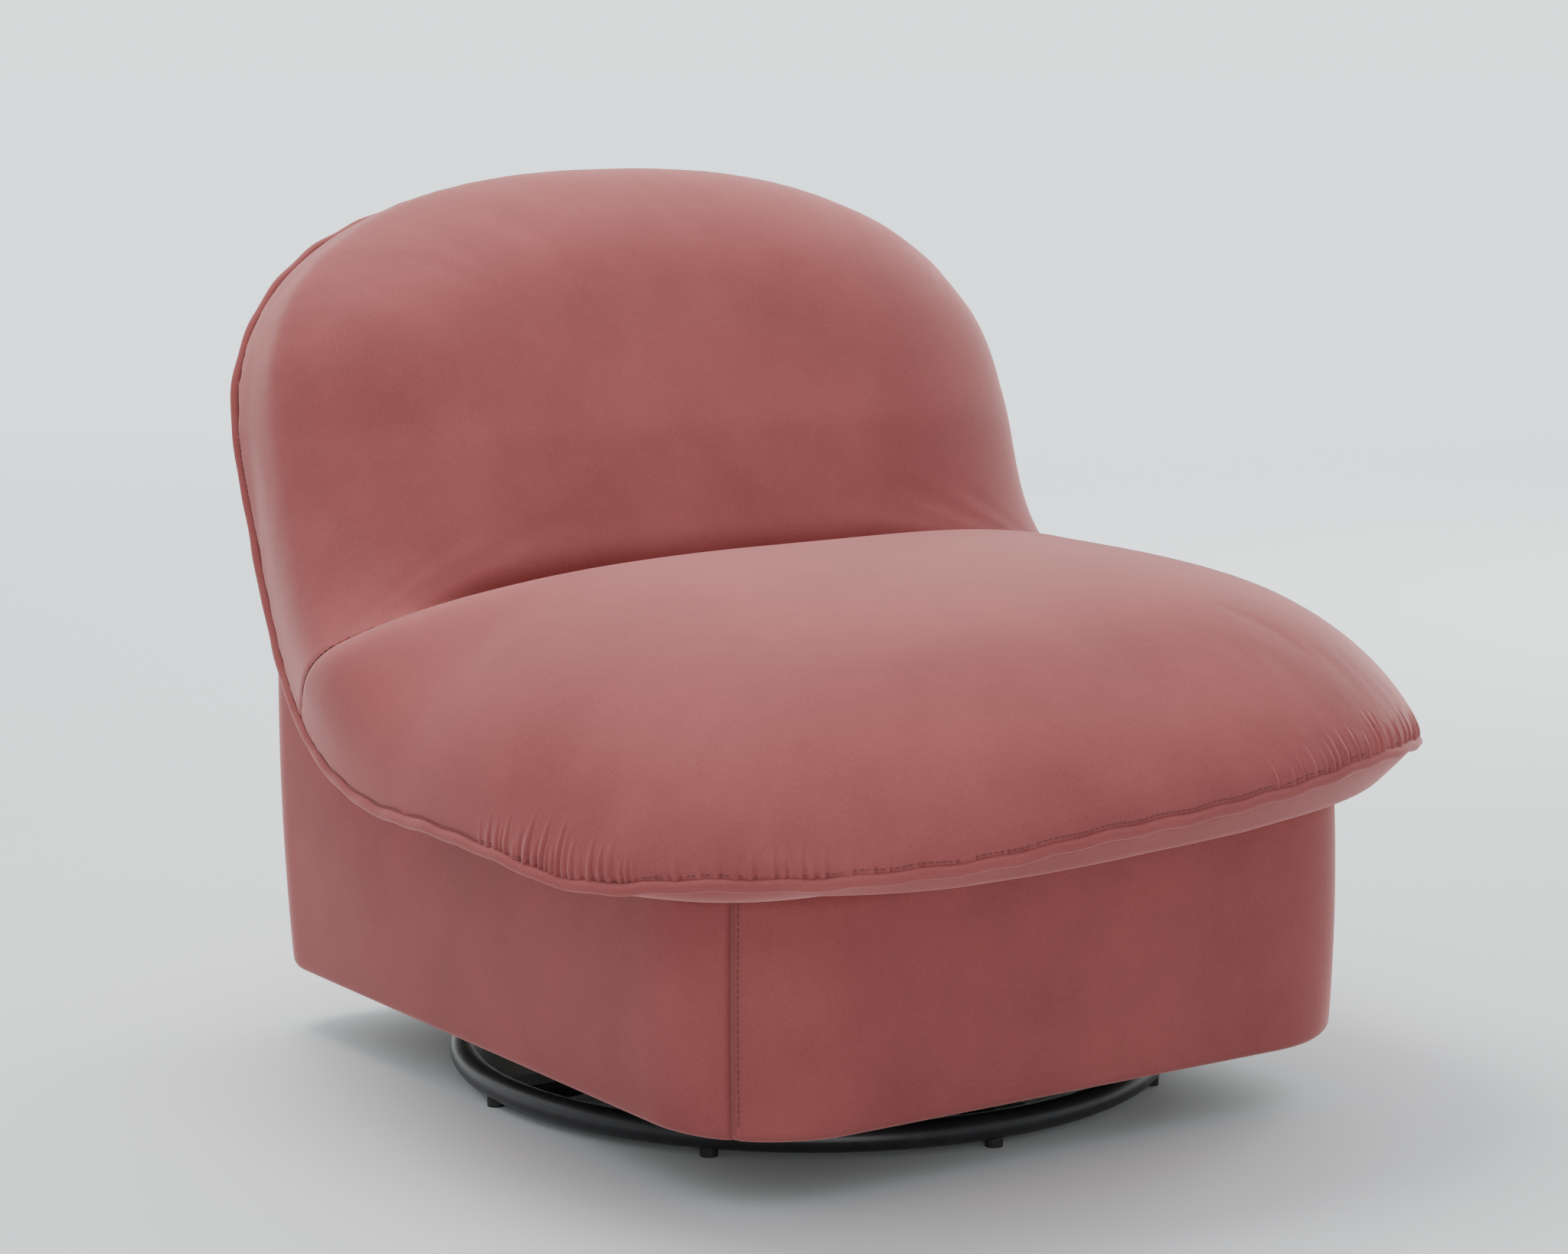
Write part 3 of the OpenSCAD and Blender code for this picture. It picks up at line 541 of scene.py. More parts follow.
# Gathers above the welt, pleat by pleat. A group has its place and half width in degrees round the
# front, the number of its pleats, their depth's share and their greatest length in metres.
gathers = {
    "groups": ((24, 11, 22, 1.0, 0.050), (47, 12, 15, 0.8, 0.028), (66, 8, 5, 0.4, 0.014),
               (124, 22, 30, 1.0, 0.046), (160, 12, 9, 0.6, 0.030)),
    "depth": 0.0024, "width": (0.0016, 0.0030), "lean": 0.35, "steps": (0.55, 1.45),
    "lengths": (0.45, 1.0), "depths": (0.5, 1.1), "refine": 2, "reach": 0.08, "limit": 0.0026,
}
weltAhead = unit(nextLessLast(weltRow))


# Where a place lies along the welt and how far above it
def byWelt(places, reach):
    index, away = nearestOn(weltRow, places, reach)
    slide = ((places - weltRow[index]) * weltAhead[index]).sum(1)
    return index, np.sqrt(np.maximum(away ** 2 - slide ** 2, 0)), index / len(weltRow) * weltLength + slide


def gatherPiece(piece):
    frontAlong = np.where(frontMark)[0] / len(weltRow) * weltLength
    ends = [np.interp([at - wide, at + wide], weltAngle[frontMark], frontAlong)
            for at, wide, *_ in gathers["groups"]]
    for _ in range(gathers["refine"]):
        index, away, along = byWelt(points(piece), gathers["reach"])
        near = np.zeros(len(away), bool)
        for (low, high), group in zip(ends, gathers["groups"]):
            near |= (along > low - 0.01) & (along < high + 0.01) & (away < group[4] * 1.1)
        refine(piece, near & frontMark[index])
    place, facing = points(piece), normals(piece)
    index, away, along = byWelt(place, gathers["reach"])
    shift = np.zeros(len(place))
    for (low, high), (_, _, many, amount, longest) in zip(ends, gathers["groups"]):
        steps = np.cumsum(rng.uniform(*gathers["steps"], many))
        for i, spot in enumerate(low + (high - low) * steps / (steps[-1] + 0.7)):
            inGroup = math.sin(math.pi * (i + 0.7) / (many + 0.4))
            length = longest * rng.uniform(*gathers["lengths"]) * (0.55 + 0.45 * inGroup)
            wide = rng.uniform(*gathers["width"])
            deep = gathers["depth"] * amount * rng.uniform(*gathers["depths"]) * (0.45 + 0.55 * inGroup)
            lean = gathers["lean"] * (spot - (low + high) / 2) / max(high - low, 0.02) * 2
            off = along - spot - lean * away * (away / longest) * 0.5
            close = (np.abs(off) < 0.02) & (away < length + 0.01)
            fold = bell(off[close], 0, wide) - 0.9 * bell(off[close], 1.25 * wide, 0.5 * wide)
            fade = smooth(away[close] / 0.004) * (1 - smooth((away[close] - 0.005) / length))
            shift[close] += deep * fold * fade
    shift = np.where(frontMark[index] & (place[:, 2] > weltRow[index][:, 2] + 0.001), shift, 0)
    shift = np.clip(shift, -gathers["limit"], gathers["limit"])
    setPoints(piece, place + facing * shift[:, None])


# Every velvet piece belongs to the chair and stands for one CAD node
def finishVelvet(piece, stands):
    shadeSmooth(piece)
    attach(piece, "chair")
    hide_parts(stands)


gatherPiece(seatPad)
for piece, stands in ((seatPad, "seat_cushion"), (backPad, "back_cushion")):
    faceOutwards(piece)
    finishVelvet(piece, stands)
print("pads gathered")


# The box's outline and which way it faces, its four corners joined by straight sides
def planLine(inset):
    p = boxPlan
    corners = (
        (p["half"] - p["frontRadius"], p["front"] + p["frontRadius"], p["frontRadius"], -90),
        (p["half"] - p["rearRadius"], p["rear"] - p["rearRadius"], p["rearRadius"], 0),
        (-p["half"] + p["rearRadius"], p["rear"] - p["rearRadius"], p["rearRadius"], 90),
        (-p["half"] + p["frontRadius"], p["front"] + p["frontRadius"], p["frontRadius"], 180),
    )
    line, facing = [], []
    for x, y, radius, turn in corners:
        for a in np.radians(turn + np.linspace(0, 90, p["cornerPoints"])):
            out = np.array([math.cos(a), math.sin(a)])
            line.append(np.array([x, y]) + (radius - inset) * out)
            facing.append(out)
    return np.array(line), np.array(facing)


def boxTop(x, y):
    low, high = boxPlan["wedge"]
    share = np.clip((y - low) / (high - low), 0, 1)
    return boxPlan["seatTop"] + rightRise(x, y) + (boxPlan["rearTop"] - boxPlan["seatTop"]) * smooth(share)


# The covers stand out a little towards the top at the rear
def flare(y):
    return boxPlan["flare"] * smooth((y - 0.05) / 0.25)


# Even steps along the box's outline between two of its seams, counted in the outline's own points
def planStretch(first, last, step):
    line, facing = planLine(0)
    index = np.arange(first, last + 1) % len(line)
    along = lengthsAlong(line[index])
    wanted = np.linspace(0, along[-1], max(8, int(along[-1] / step)) + 1)
    out = unit(valuesAt(wanted, along, facing[index]))
    return valuesAt(wanted, along, line[index]), out, wanted, along[-1]


def coverPiece(name, first, last, stands):
    place, out, along, length = planStretch(first, last, boxPlan["step"])
    fromSeam = np.minimum(along, length - along)
    bottom, top = boxPlan["bottom"], boxTop(place[:, 0], place[:, 1]) + boxPlan["over"]
    rows = []
    hem, roll = boxPlan["hem"], boxPlan["roll"]
    # turned under at the hem, rolled over the edge, then up the side
    profile = [(hem, 0.0026), (hem * 0.7, 0.0006), (roll, 0)]
    for a in np.radians(np.arange(15, 91, 15)):
        profile.append((roll * (1 - math.sin(a)), roll * (1 - math.cos(a))))
    for inward, up in profile:
        rows.append((inward + 0 * along, bottom + up + 0 * along))
    for share in np.linspace(0, 1, boxPlan["rows"])[1:]:
        z = bottom + roll + (top - bottom - roll) * share
        swell = boxPlan["bulge"] * np.sin(math.pi * share) ** 0.8
        tuck = boxPlan["tuck"] * smooth((share - 0.93) / 0.07)
        rows.append((-swell * smooth(fromSeam / 0.06 + 0.35) + tuck, z))
    pinch = boxPlan["pinch"] * bell(fromSeam, 0, boxPlan["pinchWidth"])
    grid = []
    for inward, z in rows:
        rise = np.clip((z - bottom) / (top - bottom), 0, 1)
        side = place - out * (inward + pinch - flare(place[:, 1]) * rise)[:, None]
        grid.append(np.column_stack([side, z]))
    piece = newPiece(name, toFrame(np.vstack(grid)), gridFaces(len(rows), len(along), False))
    thicken(piece, boxPlan["skin"])
    finishVelvet(piece, stands)
    return piece


# The outline point at an angle round one of its corners, counted from the right front by the rear
def seamAt(corner, angle):
    many = boxPlan["cornerPoints"]
    return corner * many + round(angle / 90 * (many - 1))


seams = {
    "FrontRight": seamAt(0, boxPlan["frontSeam"]), "RearRight": seamAt(1, boxPlan["rearSeam"]),
    "RearLeft": seamAt(2, 90 - boxPlan["rearSeam"]), "FrontLeft": seamAt(3, 90 - boxPlan["frontSeam"]),
}
wholeRound = seamAt(4, 0)
covers = [
    coverPiece("coverRight", seams["FrontRight"], seams["RearRight"], "cover_right"),
    coverPiece("coverRear", seams["RearRight"], seams["RearLeft"], "cover_rear"),
    coverPiece("coverLeft", seams["RearLeft"], seams["FrontLeft"], "cover_left"),
    coverPiece("coverFront", seams["FrontLeft"], wholeRound + seams["FrontRight"], "cover_front"),
]
print("box covered")


# The outer shell runs from the welt inwards under the seat, and down the outside of the back
outer = {
    "rows": 30, "around": 560, "rowPower": 1.15, "inset": 0.004, "start": 0.002, "underTop": 0.001,
    "bulge": 0.001, "bulgePower": 0.7, "cornerBulge": 0.008, "rearBulge": 0.010,
    "skin": 0.006, "clear": 0.002,
}


def outerShellPiece():
    line, _ = planLine(outer["inset"])
    lineAngle = np.unwrap(np.arctan2(line[:, 1], line[:, 0]))
    order = np.argsort(lineAngle)
    lineAngle, line = lineAngle[order], line[order]
    ring, _ = evenly(rawWelt, outer["around"])
    angle = np.unwrap(np.arctan2(ring[:, 1], ring[:, 0]))
    wrapped = (angle - lineAngle[0]) % (2 * math.pi) + lineAngle[0]
    ends = np.append(lineAngle, lineAngle[0] + 2 * math.pi)
    inner = valuesAt(wrapped, ends, np.vstack([line, line[:1]]))
    flared = inner + unit(inner * [1, 0.6]) * flare(inner[:, 1])[:, None]
    foot = np.column_stack([flared, boxTop(inner[:, 0], inner[:, 1]) - outer["underTop"]])
    start = ring + unit(weltMiddle * [1, 1, 0] + [0, 0, 0.3] - ring) * outer["start"]
    shares = np.linspace(0, 1, outer["rows"]) ** outer["rowPower"]
    grid = np.array([start + (foot - start) * t for t in shares])
    facing = unit(np.cross(nextLessLast(ring), foot - start))
    # outwards is down under the seat and rearwards behind the back
    outwards = np.where((facing @ [0, 0, -1] + facing @ [0, 1, 0] * 0.5)[:, None] < 0, -facing, facing)
    tall = smooth((ring[:, 2] - 0.36) / 0.2)
    corner = smooth((-ring[:, 0] - 0.2) / 0.15) * bell(ring[:, 1], -0.36, 0.14)
    bulge = outer["bulge"] + (outer["rearBulge"] - outer["bulge"]) * tall + outer["cornerBulge"] * corner
    # behind the back it clears the frame's rails
    rail = points(nodes["back_top_rail"]) - [ringCentre.x, ringCentre.y, 0]
    endY, endZ = shell["bend"][3]
    slope = math.tan(shell["lean"])
    rear = (rail[:, 1] - endY - (rail[:, 2] - endZ) * slope).max() + outer["skin"] + outer["clear"]
    for i, t in enumerate(shares):
        grid[i] += outwards * (bulge * (math.sin(math.pi * t) ** outer["bulgePower"]))[:, None]
        plane = endY + (grid[i][:, 2] - endZ) * slope + rear
        needed = smooth(t / 0.07) * smooth((grid[i][:, 2] - 0.46) / 0.08) * smooth((ring[:, 2] - 0.5) / 0.06)
        grid[i][:, 1] += np.maximum(plane - grid[i][:, 1], 0) * needed
    return ring, grid


shellRing, shellGrid = outerShellPiece()
outerShell = newPiece("outerShell", toFrame(shellGrid.reshape(-1, 3)),
                      gridFaces(outer["rows"], outer["around"], True))
faceOutwards(outerShell)
thicken(outerShell, outer["skin"])
finishVelvet(outerShell, "rear_panel")
print("outer shell closed")


# Welt cord: a covered cord on its flange, a little uneven
piping = {
    "points": 900, "radius": 0.0048, "sides": 12, "opening": 25, "flange": 0.011, "flangeHalf": 0.0008,
    "wander": 0.0003, "waves": (23, 41, 67),
}


def weltPiece():
    many = piping["points"]
    path, _ = evenly(rawWelt, many)
    along = np.arange(many) / many * weltLength
    wander = np.zeros((many, 3))
    for cycles in piping["waves"]:
        amount = rng.normal(0, 1, 3)
        wander += amount * np.sin(2 * math.pi * cycles * along / weltLength + rng.uniform(0, 6))[:, None]
    path = path + wander * piping["wander"]
    ahead = unit(nextLessLast(path))
    x, y, z = path.T
    inward = np.column_stack([0 * x, np.clip(y, -0.2, 0.30), np.clip(z, 0.262, 0.48)]) - path
    inward = unit(inward - (inward * ahead).sum(1)[:, None] * ahead)
    up = np.cross(ahead, inward)
    # round the cord from one side of its flange to the other, then the flange's edge
    rows = []
    for a in np.radians(np.linspace(piping["opening"], 360 - piping["opening"], piping["sides"] + 1)):
        rows.append(path + piping["radius"] * (math.cos(a) * inward + math.sin(a) * up))
    for side in (-1, 1):
        rows.append(path + inward * piping["flange"] + up * piping["flangeHalf"] * side)
    grid = np.stack(rows, 1)
    count = grid.shape[1]
    faces = []
    for i in range(many):
        n = (i + 1) % many
        for j in range(count):
            k = (j + 1) % count
            faces.append((i * count + j, n * count + j, n * count + k, i * count + k))
    piece = newPiece("weltCord", toFrame(grid.reshape(-1, 3)), faces)
    faceOutwards(piece)
    finishVelvet(piece, "welt_cord")
    return piece, path, inward, up


weltCord, weltPath, weltInward, weltUp = weltPiece()
print("welt laid")


# Stitches: one short thread, copied along each seam
stitch = {
    "length": 0.0030, "radius": 0.00042, "pitch": 0.0050,
    "lift": 0.0002, "shellLift": 0.0003, "mitreLift": 0.0005, "weltUp": 0.0075, "weltIn": 0.0030,
    "fromSeam": 0.004, "shellAt": (("Left", -0.235), ("Right", 0.17)),
}


def stitchModel():
    deselectAll()
    bpy.ops.mesh.primitive_cylinder_add(vertices=6, radius=stitch["radius"], depth=stitch["length"],
                                        rotation=(0, math.pi / 2, 0))
    model = bpy.context.object
    bpy.ops.object.transform_apply(location=True, rotation=True, scale=True)
    bpy.ops.object.mode_set(mode="EDIT")
    bpy.ops.mesh.select_all(action="DESELECT")
    mesh = bmesh.from_edit_mesh(model.data)
    for face in mesh.faces:
        face.select = abs(face.normal.x) > 0.9
    bmesh.update_edit_mesh(model.data)
    bpy.ops.mesh.inset(thickness=stitch["radius"] * 0.4, depth=stitch["radius"] * 0.5)
    bpy.ops.object.mode_set(mode="OBJECT")
    return model


stitchOne = stitchModel()
onePlace = points(stitchOne)
oneFaces = [tuple(f.vertices) for f in stitchOne.data.polygons]
bpy.data.objects.remove(stitchOne)


# Lays stitches along a line, flat on the surface whose normal is given there
def stitchLine(name, line, facing):
    along = lengthsAlong(line)
    wanted = np.arange(stitch["pitch"] / 2, along[-1], stitch["pitch"])
    at = valuesAt(wanted, along, line)
    out = unit(valuesAt(wanted, along, facing))
    ahead = unit(valuesAt(wanted + 0.001, along, line) - valuesAt(wanted - 0.001, along, line))
    side = np.cross(out, ahead)
    x, y, z = onePlace[:, :1], onePlace[:, 1:2], onePlace[:, 2:]
    places, faces = [], []
    for i in range(len(at)):
        base = len(places)
        places += list(at[i] + x * ahead[i] + y * side[i] + z * out[i])
        faces += [tuple(base + v for v in f) for f in oneFaces]
    piece = newPiece(name, places, faces)
    faceOutwards(piece)
    shadeSmooth(piece)
    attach(piece, "chair")
    return piece


# Puts a line of points on the nearest surface of the pieces given
def dropOn(targets, line, lift, reach=0.05):
    found, facing = [], []
    for p in line:
        best = None
        for target in targets:
            hit, where, normal, _ = target.closest_point_on_mesh(Vector(p), distance=reach)
            if hit and (best is None or (where - Vector(p)).length < best[0]):
                best = ((where - Vector(p)).length, where, normal)
        if best:
            found.append(np.array(best[1]) + np.array(best[2]) * lift)
            facing.append(np.array(best[2]))
    return np.array(found), np.array(facing)


# Above the welt, on the pads
def weltSeam():
    keep = slice(None, None, 3)
    up = weltUp[keep] * np.where(weltUp[keep] @ [0, -0.3, 1] > 0, 1, -1)[:, None]
    line = toFrame(weltPath[keep] + weltInward[keep] * stitch["weltIn"] + up * stitch["weltUp"])
    return dropOn([seatPad, backPad], line, stitch["lift"])


# Across the underside of the shell in front
def shellSeam(x):
    spot = int(np.argmin(np.abs(shellRing[:, 0] - x) + farAway * (shellRing[:, 1] > -0.2)))
    line = toFrame(shellGrid[2:-2, spot])
    return dropOn([outerShell], line + [0, 0, -0.006], stitch["shellLift"])


# Up the mitre between seat and back, on the column of the pads that is nearest to it
def mitreSeam(side):
    column = padColumns()
    x, y, z = column["welt"].T
    chosen = int(np.argmin(np.abs(y - mitreAt(z)) + farAway * (x * side <= 0)))
    line = [padRing(column, lift)[chosen] for lift in np.linspace(0.10, 1.25, 60)]
    return dropOn([seatPad, backPad], line, stitch["mitreLift"])


# Down a corner of the box beside its seam
def cornerSeam(index):
    line, facing = planLine(0)
    here, out = line[index], facing[index]
    z = np.linspace(boxPlan["bottom"] + 0.012, boxTop(here[0], here[1]) - 0.002, 50)
    spot = here + np.array([-out[1], out[0]]) * stitch["fromSeam"]
    start = toFrame(np.column_stack([np.tile(spot + out * 0.006, (len(z), 1)), z]))
    return dropOn(covers, start, stitch["lift"])


bpy.context.view_layer.update()
threads = [stitchLine("weltStitches", *weltSeam())]
for label, x in stitch["shellAt"]:
    threads.append(stitchLine("shellStitches" + label, *shellSeam(x)))
for label, side in (("Left", -1), ("Right", 1)):
    threads.append(stitchLine("mitreStitches" + label, *mitreSeam(side)))
for label in ("FrontRight", "RearRight", "RearLeft", "FrontLeft"):
    threads.append(stitchLine("cornerStitches" + label, *cornerSeam(seams[label])))
print("stitched")


# Materials: shared effects are node groups with named inputs
def newGroup(name, inputs, outputs):
    group = bpy.data.node_groups.new(name, "ShaderNodeTree")
    for label, kind, value in inputs:
        socket = group.interface.new_socket(name=label, in_out="INPUT", socket_type=kind)
        if value is not None:
            socket.default_value = value
    for label, kind in outputs:
        group.interface.new_socket(name=label, in_out="OUTPUT", socket_type=kind)
    return group, group.nodes.new("NodeGroupInput"), group.nodes.new("NodeGroupOutput")


def noiseNode(tree, scale, detail=3.0, roughness=0.55):
    noise = tree.nodes.new("ShaderNodeTexNoise")
    noise.inputs["Scale"].default_value = scale
    noise.inputs["Detail"].default_value = detail
    noise.inputs["Roughness"].default_value = roughness
    return noise


def mathNode(tree, operation, first=None, second=None):
    node = tree.nodes.new("ShaderNodeMath")
    node.operation = operation
    for socket, value in zip(node.inputs, (first, second)):
        if value is None:
            continue
        if isinstance(value, (int, float)):
            socket.default_value = value
        else:
            tree.links.new(value, socket)
    return node


# Mixes two colours, each given as a value or a socket
def mixColours(tree, share, first, second):
    node = tree.nodes.new("ShaderNodeMix")
    node.data_type = "RGBA"
    for socket, value in ((node.inputs[0], share), (node.inputs[6], first), (node.inputs[7], second)):
        if isinstance(value, (tuple, float, int)):
            socket.default_value = value
        else:
            tree.links.new(value, socket)
    return node.outputs[2]


def spread(tree, value, low, high, outLow, outHigh):
    node = tree.nodes.new("ShaderNodeMapRange")
    tree.links.new(value, node.inputs["Value"])
    for label, number in (("From Min", low), ("From Max", high), ("To Min", outLow), ("To Max", outHigh)):
        node.inputs[label].default_value = number
    return node.outputs["Result"]


# Velvet pile: brushed patches, a fine grain and small flecks
def pileGroup():
    group, start, end = newGroup("velvetPile", [
        ("Vector", "NodeSocketVector", None), ("Deep", "NodeSocketColor", (0.2, 0.05, 0.05, 1)),
        ("Light", "NodeSocketColor", (0.4, 0.15, 0.14, 1)), ("Patches", "NodeSocketFloat", 9.0),
        ("Grain", "NodeSocketFloat", 1100.0)],
        [("Color", "NodeSocketColor"), ("Height", "NodeSocketFloat"), ("Gloss", "NodeSocketFloat")])
    given = start.outputs
    patches = noiseNode(group, 9.0, 4.0, 0.6)
    grain = noiseNode(group, 1100.0, 2.0, 0.7)
    flecks = noiseNode(group, 420.0, 2.0, 0.6)
    for noise in (patches, grain, flecks):
        group.links.new(given["Vector"], noise.inputs["Vector"])
    group.links.new(given["Patches"], patches.inputs["Scale"])
    group.links.new(given["Grain"], grain.inputs["Scale"])
    soft = spread(group, patches.outputs["Fac"], 0.35, 0.68, 0.25, 0.75)
    speckle = spread(group, grain.outputs["Fac"], 0.3, 0.7, -0.22, 0.22)
    dust = spread(group, flecks.outputs["Fac"], 0.35, 0.7, -0.10, 0.10)
    share = mathNode(group, "ADD", mathNode(group, "ADD", soft, speckle).outputs[0], dust)
    share.use_clamp = True
    height = mathNode(group, "ADD", mathNode(group, "MULTIPLY", grain.outputs["Fac"], 0.6).outputs[0],
                      mathNode(group, "MULTIPLY", flecks.outputs["Fac"], 0.4).outputs[0])
    gloss = spread(group, patches.outputs["Fac"], 0.3, 0.7, 0.62, 0.78)
    group.links.new(mixColours(group, share.outputs[0], given["Deep"], given["Light"]), end.inputs["Color"])
    group.links.new(height.outputs[0], end.inputs["Height"])
    group.links.new(gloss, end.inputs["Gloss"])
    return group


# Wear and mottling for metal, plastic and wood
def mottleGroup():
    group, start, end = newGroup("mottle", [
        ("Vector", "NodeSocketVector", None), ("Base", "NodeSocketColor", (0.1, 0.1, 0.1, 1)),
        ("Other", "NodeSocketColor", (0.2, 0.2, 0.2, 1)), ("Scale", "NodeSocketFloat", 40.0),
        ("Rough Low", "NodeSocketFloat", 0.3), ("Rough High", "NodeSocketFloat", 0.5)],
        [("Color", "NodeSocketColor"), ("Roughness", "NodeSocketFloat"), ("Height", "NodeSocketFloat")])
    broad = noiseNode(group, 40.0, 5.0, 0.6)
    tight = noiseNode(group, 900.0, 2.0, 0.5)
    group.links.new(start.outputs["Vector"], broad.inputs["Vector"])
    group.links.new(start.outputs["Vector"], tight.inputs["Vector"])
    group.links.new(start.outputs["Scale"], broad.inputs["Scale"])
    share = spread(group, broad.outputs["Fac"], 0.35, 0.65, 0, 1)
    mixed = mixColours(group, share, start.outputs["Base"], start.outputs["Other"])
    rough = group.nodes.new("ShaderNodeMapRange")
    group.links.new(broad.outputs["Fac"], rough.inputs["Value"])
    group.links.new(start.outputs["Rough Low"], rough.inputs["To Min"])
    group.links.new(start.outputs["Rough High"], rough.inputs["To Max"])
    group.links.new(mixed, end.inputs["Color"])
    group.links.new(rough.outputs["Result"], end.inputs["Roughness"])
    group.links.new(tight.outputs["Fac"], end.inputs["Height"])
    return group


velvetPile = pileGroup()
mottle = mottleGroup()


def startMaterial(name):
    material = bpy.data.materials.new(name)
    material.use_nodes = True
    tree = material.node_tree
    shader = tree.nodes["Principled BSDF"]
    coordinates = tree.nodes.new("ShaderNodeTexCoord")
    return material, tree, shader, coordinates.outputs["Object"]


def addBump(tree, shader, height, strength, distance):
    bump = tree.nodes.new("ShaderNodeBump")
    bump.inputs["Strength"].default_value = strength
    bump.inputs["Distance"].default_value = distance
    tree.links.new(height, bump.inputs["Height"])
    tree.links.new(bump.outputs["Normal"], shader.inputs["Normal"])


# Places a shared effect in a material, with this material's values
def placeGroup(tree, group, vector, values):
    placed = tree.nodes.new("ShaderNodeGroup")
    placed.node_tree = group
    for label, value in values.items():
        placed.inputs[label].default_value = value
    tree.links.new(vector, placed.inputs["Vector"])
    return placed


def velvetMaterial(name, deep, light, sheen):
    material, tree, shader, vector = startMaterial(name)
    pile = placeGroup(tree, velvetPile, vector, {"Deep": deep, "Light": light})
    tree.links.new(pile.outputs["Color"], shader.inputs["Base Color"])
    tree.links.new(pile.outputs["Gloss"], shader.inputs["Roughness"])
    addBump(tree, shader, pile.outputs["Height"], 0.35, 0.0005)
    shader.inputs["Sheen Weight"].default_value = sheen
    shader.inputs["Sheen Roughness"].default_value = 0.35
    shader.inputs["Sheen Tint"].default_value = (1.0, 0.54, 0.52, 1)
    shader.inputs["Specular IOR Level"].default_value = 0.15
    return material


def mottledMaterial(name, base, other, rough, scale=40.0, metallic=0.0, bump=0.1, distance=0.0002):
    material, tree, shader, vector = startMaterial(name)
    effect = placeGroup(tree, mottle, vector, {"Base": base, "Other": other, "Scale": scale,
                                               "Rough Low": rough[0], "Rough High": rough[1]})
    tree.links.new(effect.outputs["Color"], shader.inputs["Base Color"])
    tree.links.new(effect.outputs["Roughness"], shader.inputs["Roughness"])
    addBump(tree, shader, effect.outputs["Height"], bump, distance)
    shader.inputs["Metallic"].default_value = metallic
    return material


# Colours deep and light, roughness low and high, scale, then metallic, bump and its distance
finish = {
    "velvet": velvetMaterial("roseVelvet", (0.226, 0.056, 0.055, 1), (0.330, 0.092, 0.088, 1), 0.5),
    "thread": mottledMaterial("roseThread", (0.11, 0.030, 0.032, 1), (0.15, 0.042, 0.044, 1),
                              (0.6, 0.8), 300.0),
    "blackSteel": mottledMaterial("blackSatinSteel", (0.012, 0.012, 0.013, 1), (0.018, 0.018, 0.020, 1),
                                  (0.30, 0.45), 60.0, bump=0.15),
    "footRubber": mottledMaterial("blackRubber", (0.010, 0.010, 0.010, 1), (0.016, 0.016, 0.016, 1),
                                  (0.65, 0.8), 80.0),
    "zincSteel": mottledMaterial("zincSteel", (0.42, 0.43, 0.45, 1), (0.52, 0.52, 0.52, 1),
                                 (0.28, 0.45), 70.0, metallic=1.0),
    "nylon": mottledMaterial("whiteNylon", (0.62, 0.60, 0.54, 1), (0.68, 0.66, 0.60, 1), (0.4, 0.5), 60.0),
    "plywood": mottledMaterial("birchPlywood", (0.52, 0.36, 0.20, 1), (0.62, 0.46, 0.28, 1),
                               (0.55, 0.7), 25.0),
    "hardwood": mottledMaterial("beech", (0.45, 0.26, 0.13, 1), (0.55, 0.34, 0.18, 1), (0.5, 0.65), 30.0),
    "felt": mottledMaterial("greyFelt", (0.14, 0.13, 0.12, 1), (0.22, 0.21, 0.20, 1),
                            (0.85, 0.95), 300.0, bump=0.5, distance=0.0008),
    "blackCloth": mottledMaterial("blackCambric", (0.014, 0.014, 0.015, 1), (0.024, 0.024, 0.026, 1),
                                  (0.8, 0.9), 400.0, bump=0.4, distance=0.0004),
}

# CAD nodes by the start of their names
nodeFinish = {
    "blackSteel": ("floor_ring", "spoke_", "hub_plate", "cross_member", "carriage_rails", "pivot_post",
                   "link_", "hanger_left", "hanger_right"),
    "footRubber": ("ring_feet",),
    "zincSteel": ("lower_race", "upper_race", "race_bolts", "king_", "bearing_balls", "carriage_bolts",
                  "upper_pivot_pins", "lower_pivot_pins", "hanger_screws", "seat_springs", "spring_clips"),
    "nylon": ("bushes_", "ball_cage"),
    "plywood": ("frame_", "corner_formers", "seat_rail", "back_post", "back_top_rail", "back_lower_rail"),
    "hardwood": ("hanger_cleats",),
    "felt": ("deck_pad", "back_webbing"),
    "blackCloth": ("dust_cover",),
    "velvet": ("cover_", "seat_cushion", "back_cushion", "rear_panel", "welt_cord"),
}


def dress(piece, material):
    piece.data.materials.clear()
    piece.data.materials.append(material)


for label, starts in nodeFinish.items():
    for name, piece in nodes.items():
        if name.startswith(starts):
            dress(piece, finish[label])
for piece in (seatPad, backPad, outerShell, weltCord, *covers):
    dress(piece, finish["velvet"])
for piece in threads:
    dress(piece, finish["thread"])
print("materials placed")
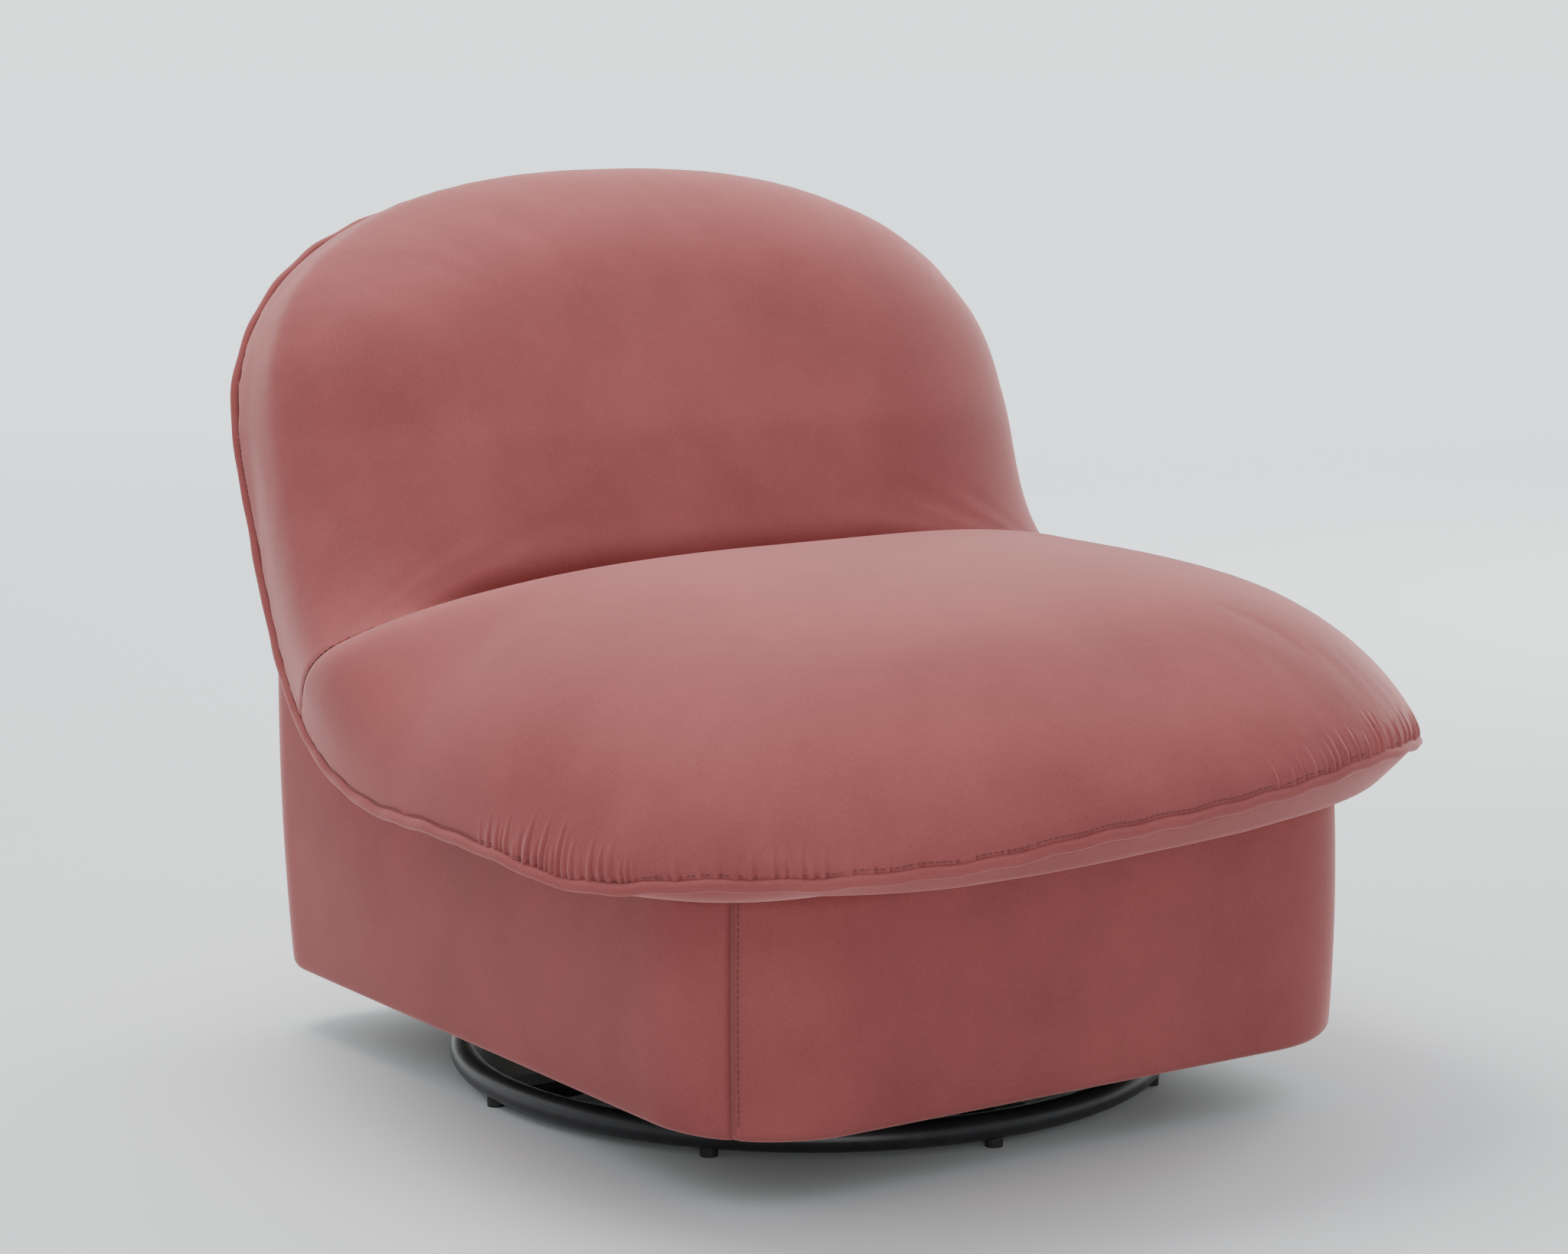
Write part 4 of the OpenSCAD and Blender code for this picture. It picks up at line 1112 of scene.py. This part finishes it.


# Floor, sky, lights and camera
# The floor's near and far colours are painted shade and painted light, and its glow is painted light on the
# far floor
studio = {
    "paintedShadeFloorNear": (0.63, 0.64, 0.65, 1), "paintedLightFloorFar": (0.85, 0.895, 0.91, 1), "paintedFalloffFrom": -1.6,
    "paintedFalloffTo": 2.6, "paintedGlow": 0.75, "paintedGlowFrom": 1.0, "paintedGlowTo": 5.5, "radius": 60.0,
    "sky": (0.92, 0.97, 1.0, 1), "skyFrom": (0.42, 0.62, 0.66), "skyLow": 0.24, "skyHigh": 1.85,
    "backdrop": (0.90, 0.965, 1.0, 1), "backdropPower": 2.0,
    "lights": (
        ("topLight", (-0.3, 0.6, 2.5), (0, -0.1, 0.35), (1.4, 1.4), 52, (1.0, 0.975, 0.955)),
        ("rightLight", (2.9, 0.8, 1.3), (0.42, 2.48, 0.4), (1.4, 1.8), 40, (1.0, 0.985, 0.97)),
        ("frontLight", (-2.0, -3.4, 0.7), (0, 0, 0.15), (2.0, 1.0), 35, (1.0, 0.985, 0.97)),
    ),
}
view = {"azimuth": -34.17, "pitch": 8.985, "lens": 87.89, "from": (-1.7724, -2.5727, 0.8614)}


# Pale floor, painted darker near the camera and lighter with the distance behind the chair as painted light
# falloff; its far part has a painted glow to meet the backdrop
def floorPiece():
    deselectAll()
    bpy.ops.mesh.primitive_circle_add(vertices=128, radius=studio["radius"], fill_type="TRIFAN")
    piece = bpy.context.object
    piece.name = "studioFloor"
    material, tree, shader, vector = startMaterial("paintedFalloffFloor")
    turn = tree.nodes.new("ShaderNodeVectorMath")
    turn.operation = "DOT_PRODUCT"
    azimuth = math.radians(view["azimuth"])
    turn.inputs[1].default_value = (-math.sin(azimuth), math.cos(azimuth), 0)
    tree.links.new(vector, turn.inputs[0])
    # painted shade and light: the floor's colour goes from darker near the camera to lighter far behind,
    # standing in for light falloff
    share = spread(tree, turn.outputs["Value"], studio["paintedFalloffFrom"], studio["paintedFalloffTo"], 0, 1)
    mixed = mixColours(tree, share, studio["paintedShadeFloorNear"], studio["paintedLightFloorFar"])
    tree.links.new(mixed, shader.inputs["Base Color"])
    shader.inputs["Roughness"].default_value = 0.6
    shader.inputs["Specular IOR Level"].default_value = 0.2
    # painted light: the far floor glows in the backdrop's colour though no lamp is there, and its glow also
    # reaches the chair
    shader.inputs["Emission Color"].default_value = studio["backdrop"]
    paintedGlow = spread(tree, turn.outputs["Value"], studio["paintedGlowFrom"], studio["paintedGlowTo"], 0, studio["paintedGlow"])
    tree.links.new(paintedGlow, shader.inputs["Emission Strength"])
    dress(piece, material)
    return piece


floorPiece()


# A soft sky, brighter above and behind the chair; the camera sees a plain backdrop instead
def skyWorld():
    world = bpy.data.worlds.new("studioSky")
    world.use_nodes = True
    tree = world.node_tree
    sky, output = tree.nodes["Background"], tree.nodes["World Output"]
    sky.inputs["Color"].default_value = studio["sky"]
    coordinates = tree.nodes.new("ShaderNodeTexCoord")
    toward = tree.nodes.new("ShaderNodeVectorMath")
    toward.operation = "DOT_PRODUCT"
    toward.inputs[1].default_value = studio["skyFrom"]
    tree.links.new(coordinates.outputs["Generated"], toward.inputs[0])
    strength = spread(tree, toward.outputs["Value"], -0.6, 1, studio["skyLow"], studio["skyHigh"])
    tree.links.new(strength, sky.inputs["Strength"])
    plain = tree.nodes.new("ShaderNodeBackground")
    plain.inputs["Color"].default_value = studio["backdrop"]
    plain.inputs["Strength"].default_value = studio["backdropPower"]
    path, mix = tree.nodes.new("ShaderNodeLightPath"), tree.nodes.new("ShaderNodeMixShader")
    tree.links.new(path.outputs["Is Camera Ray"], mix.inputs[0])
    tree.links.new(sky.outputs[0], mix.inputs[1])
    tree.links.new(plain.outputs[0], mix.inputs[2])
    tree.links.new(mix.outputs[0], output.inputs["Surface"])
    bpy.context.scene.world = world


skyWorld()
for name, place, toward, size, watts, colour in studio["lights"]:
    lamp = bpy.data.lights.new(name, "AREA")
    lamp.shape = "RECTANGLE"
    lamp.size, lamp.size_y = size
    lamp.energy = watts
    lamp.color = colour
    holder = addObject(name, lamp)
    holder.location = place
    holder.rotation_euler = (Vector(toward) - Vector(place)).to_track_quat("-Z", "Y").to_euler()

lens = bpy.data.cameras.new("camera")
lens.sensor_width = 36
lens.lens = view["lens"]
lens.clip_end = 60
camera = addObject("camera", lens)
camera.location = Vector(view["from"]) + Vector((ringCentre.x, ringCentre.y, 0))
camera.rotation_euler = (math.radians(90 - view["pitch"]), 0, math.radians(view["azimuth"]))
bpy.context.scene.camera = camera
print("studio set")
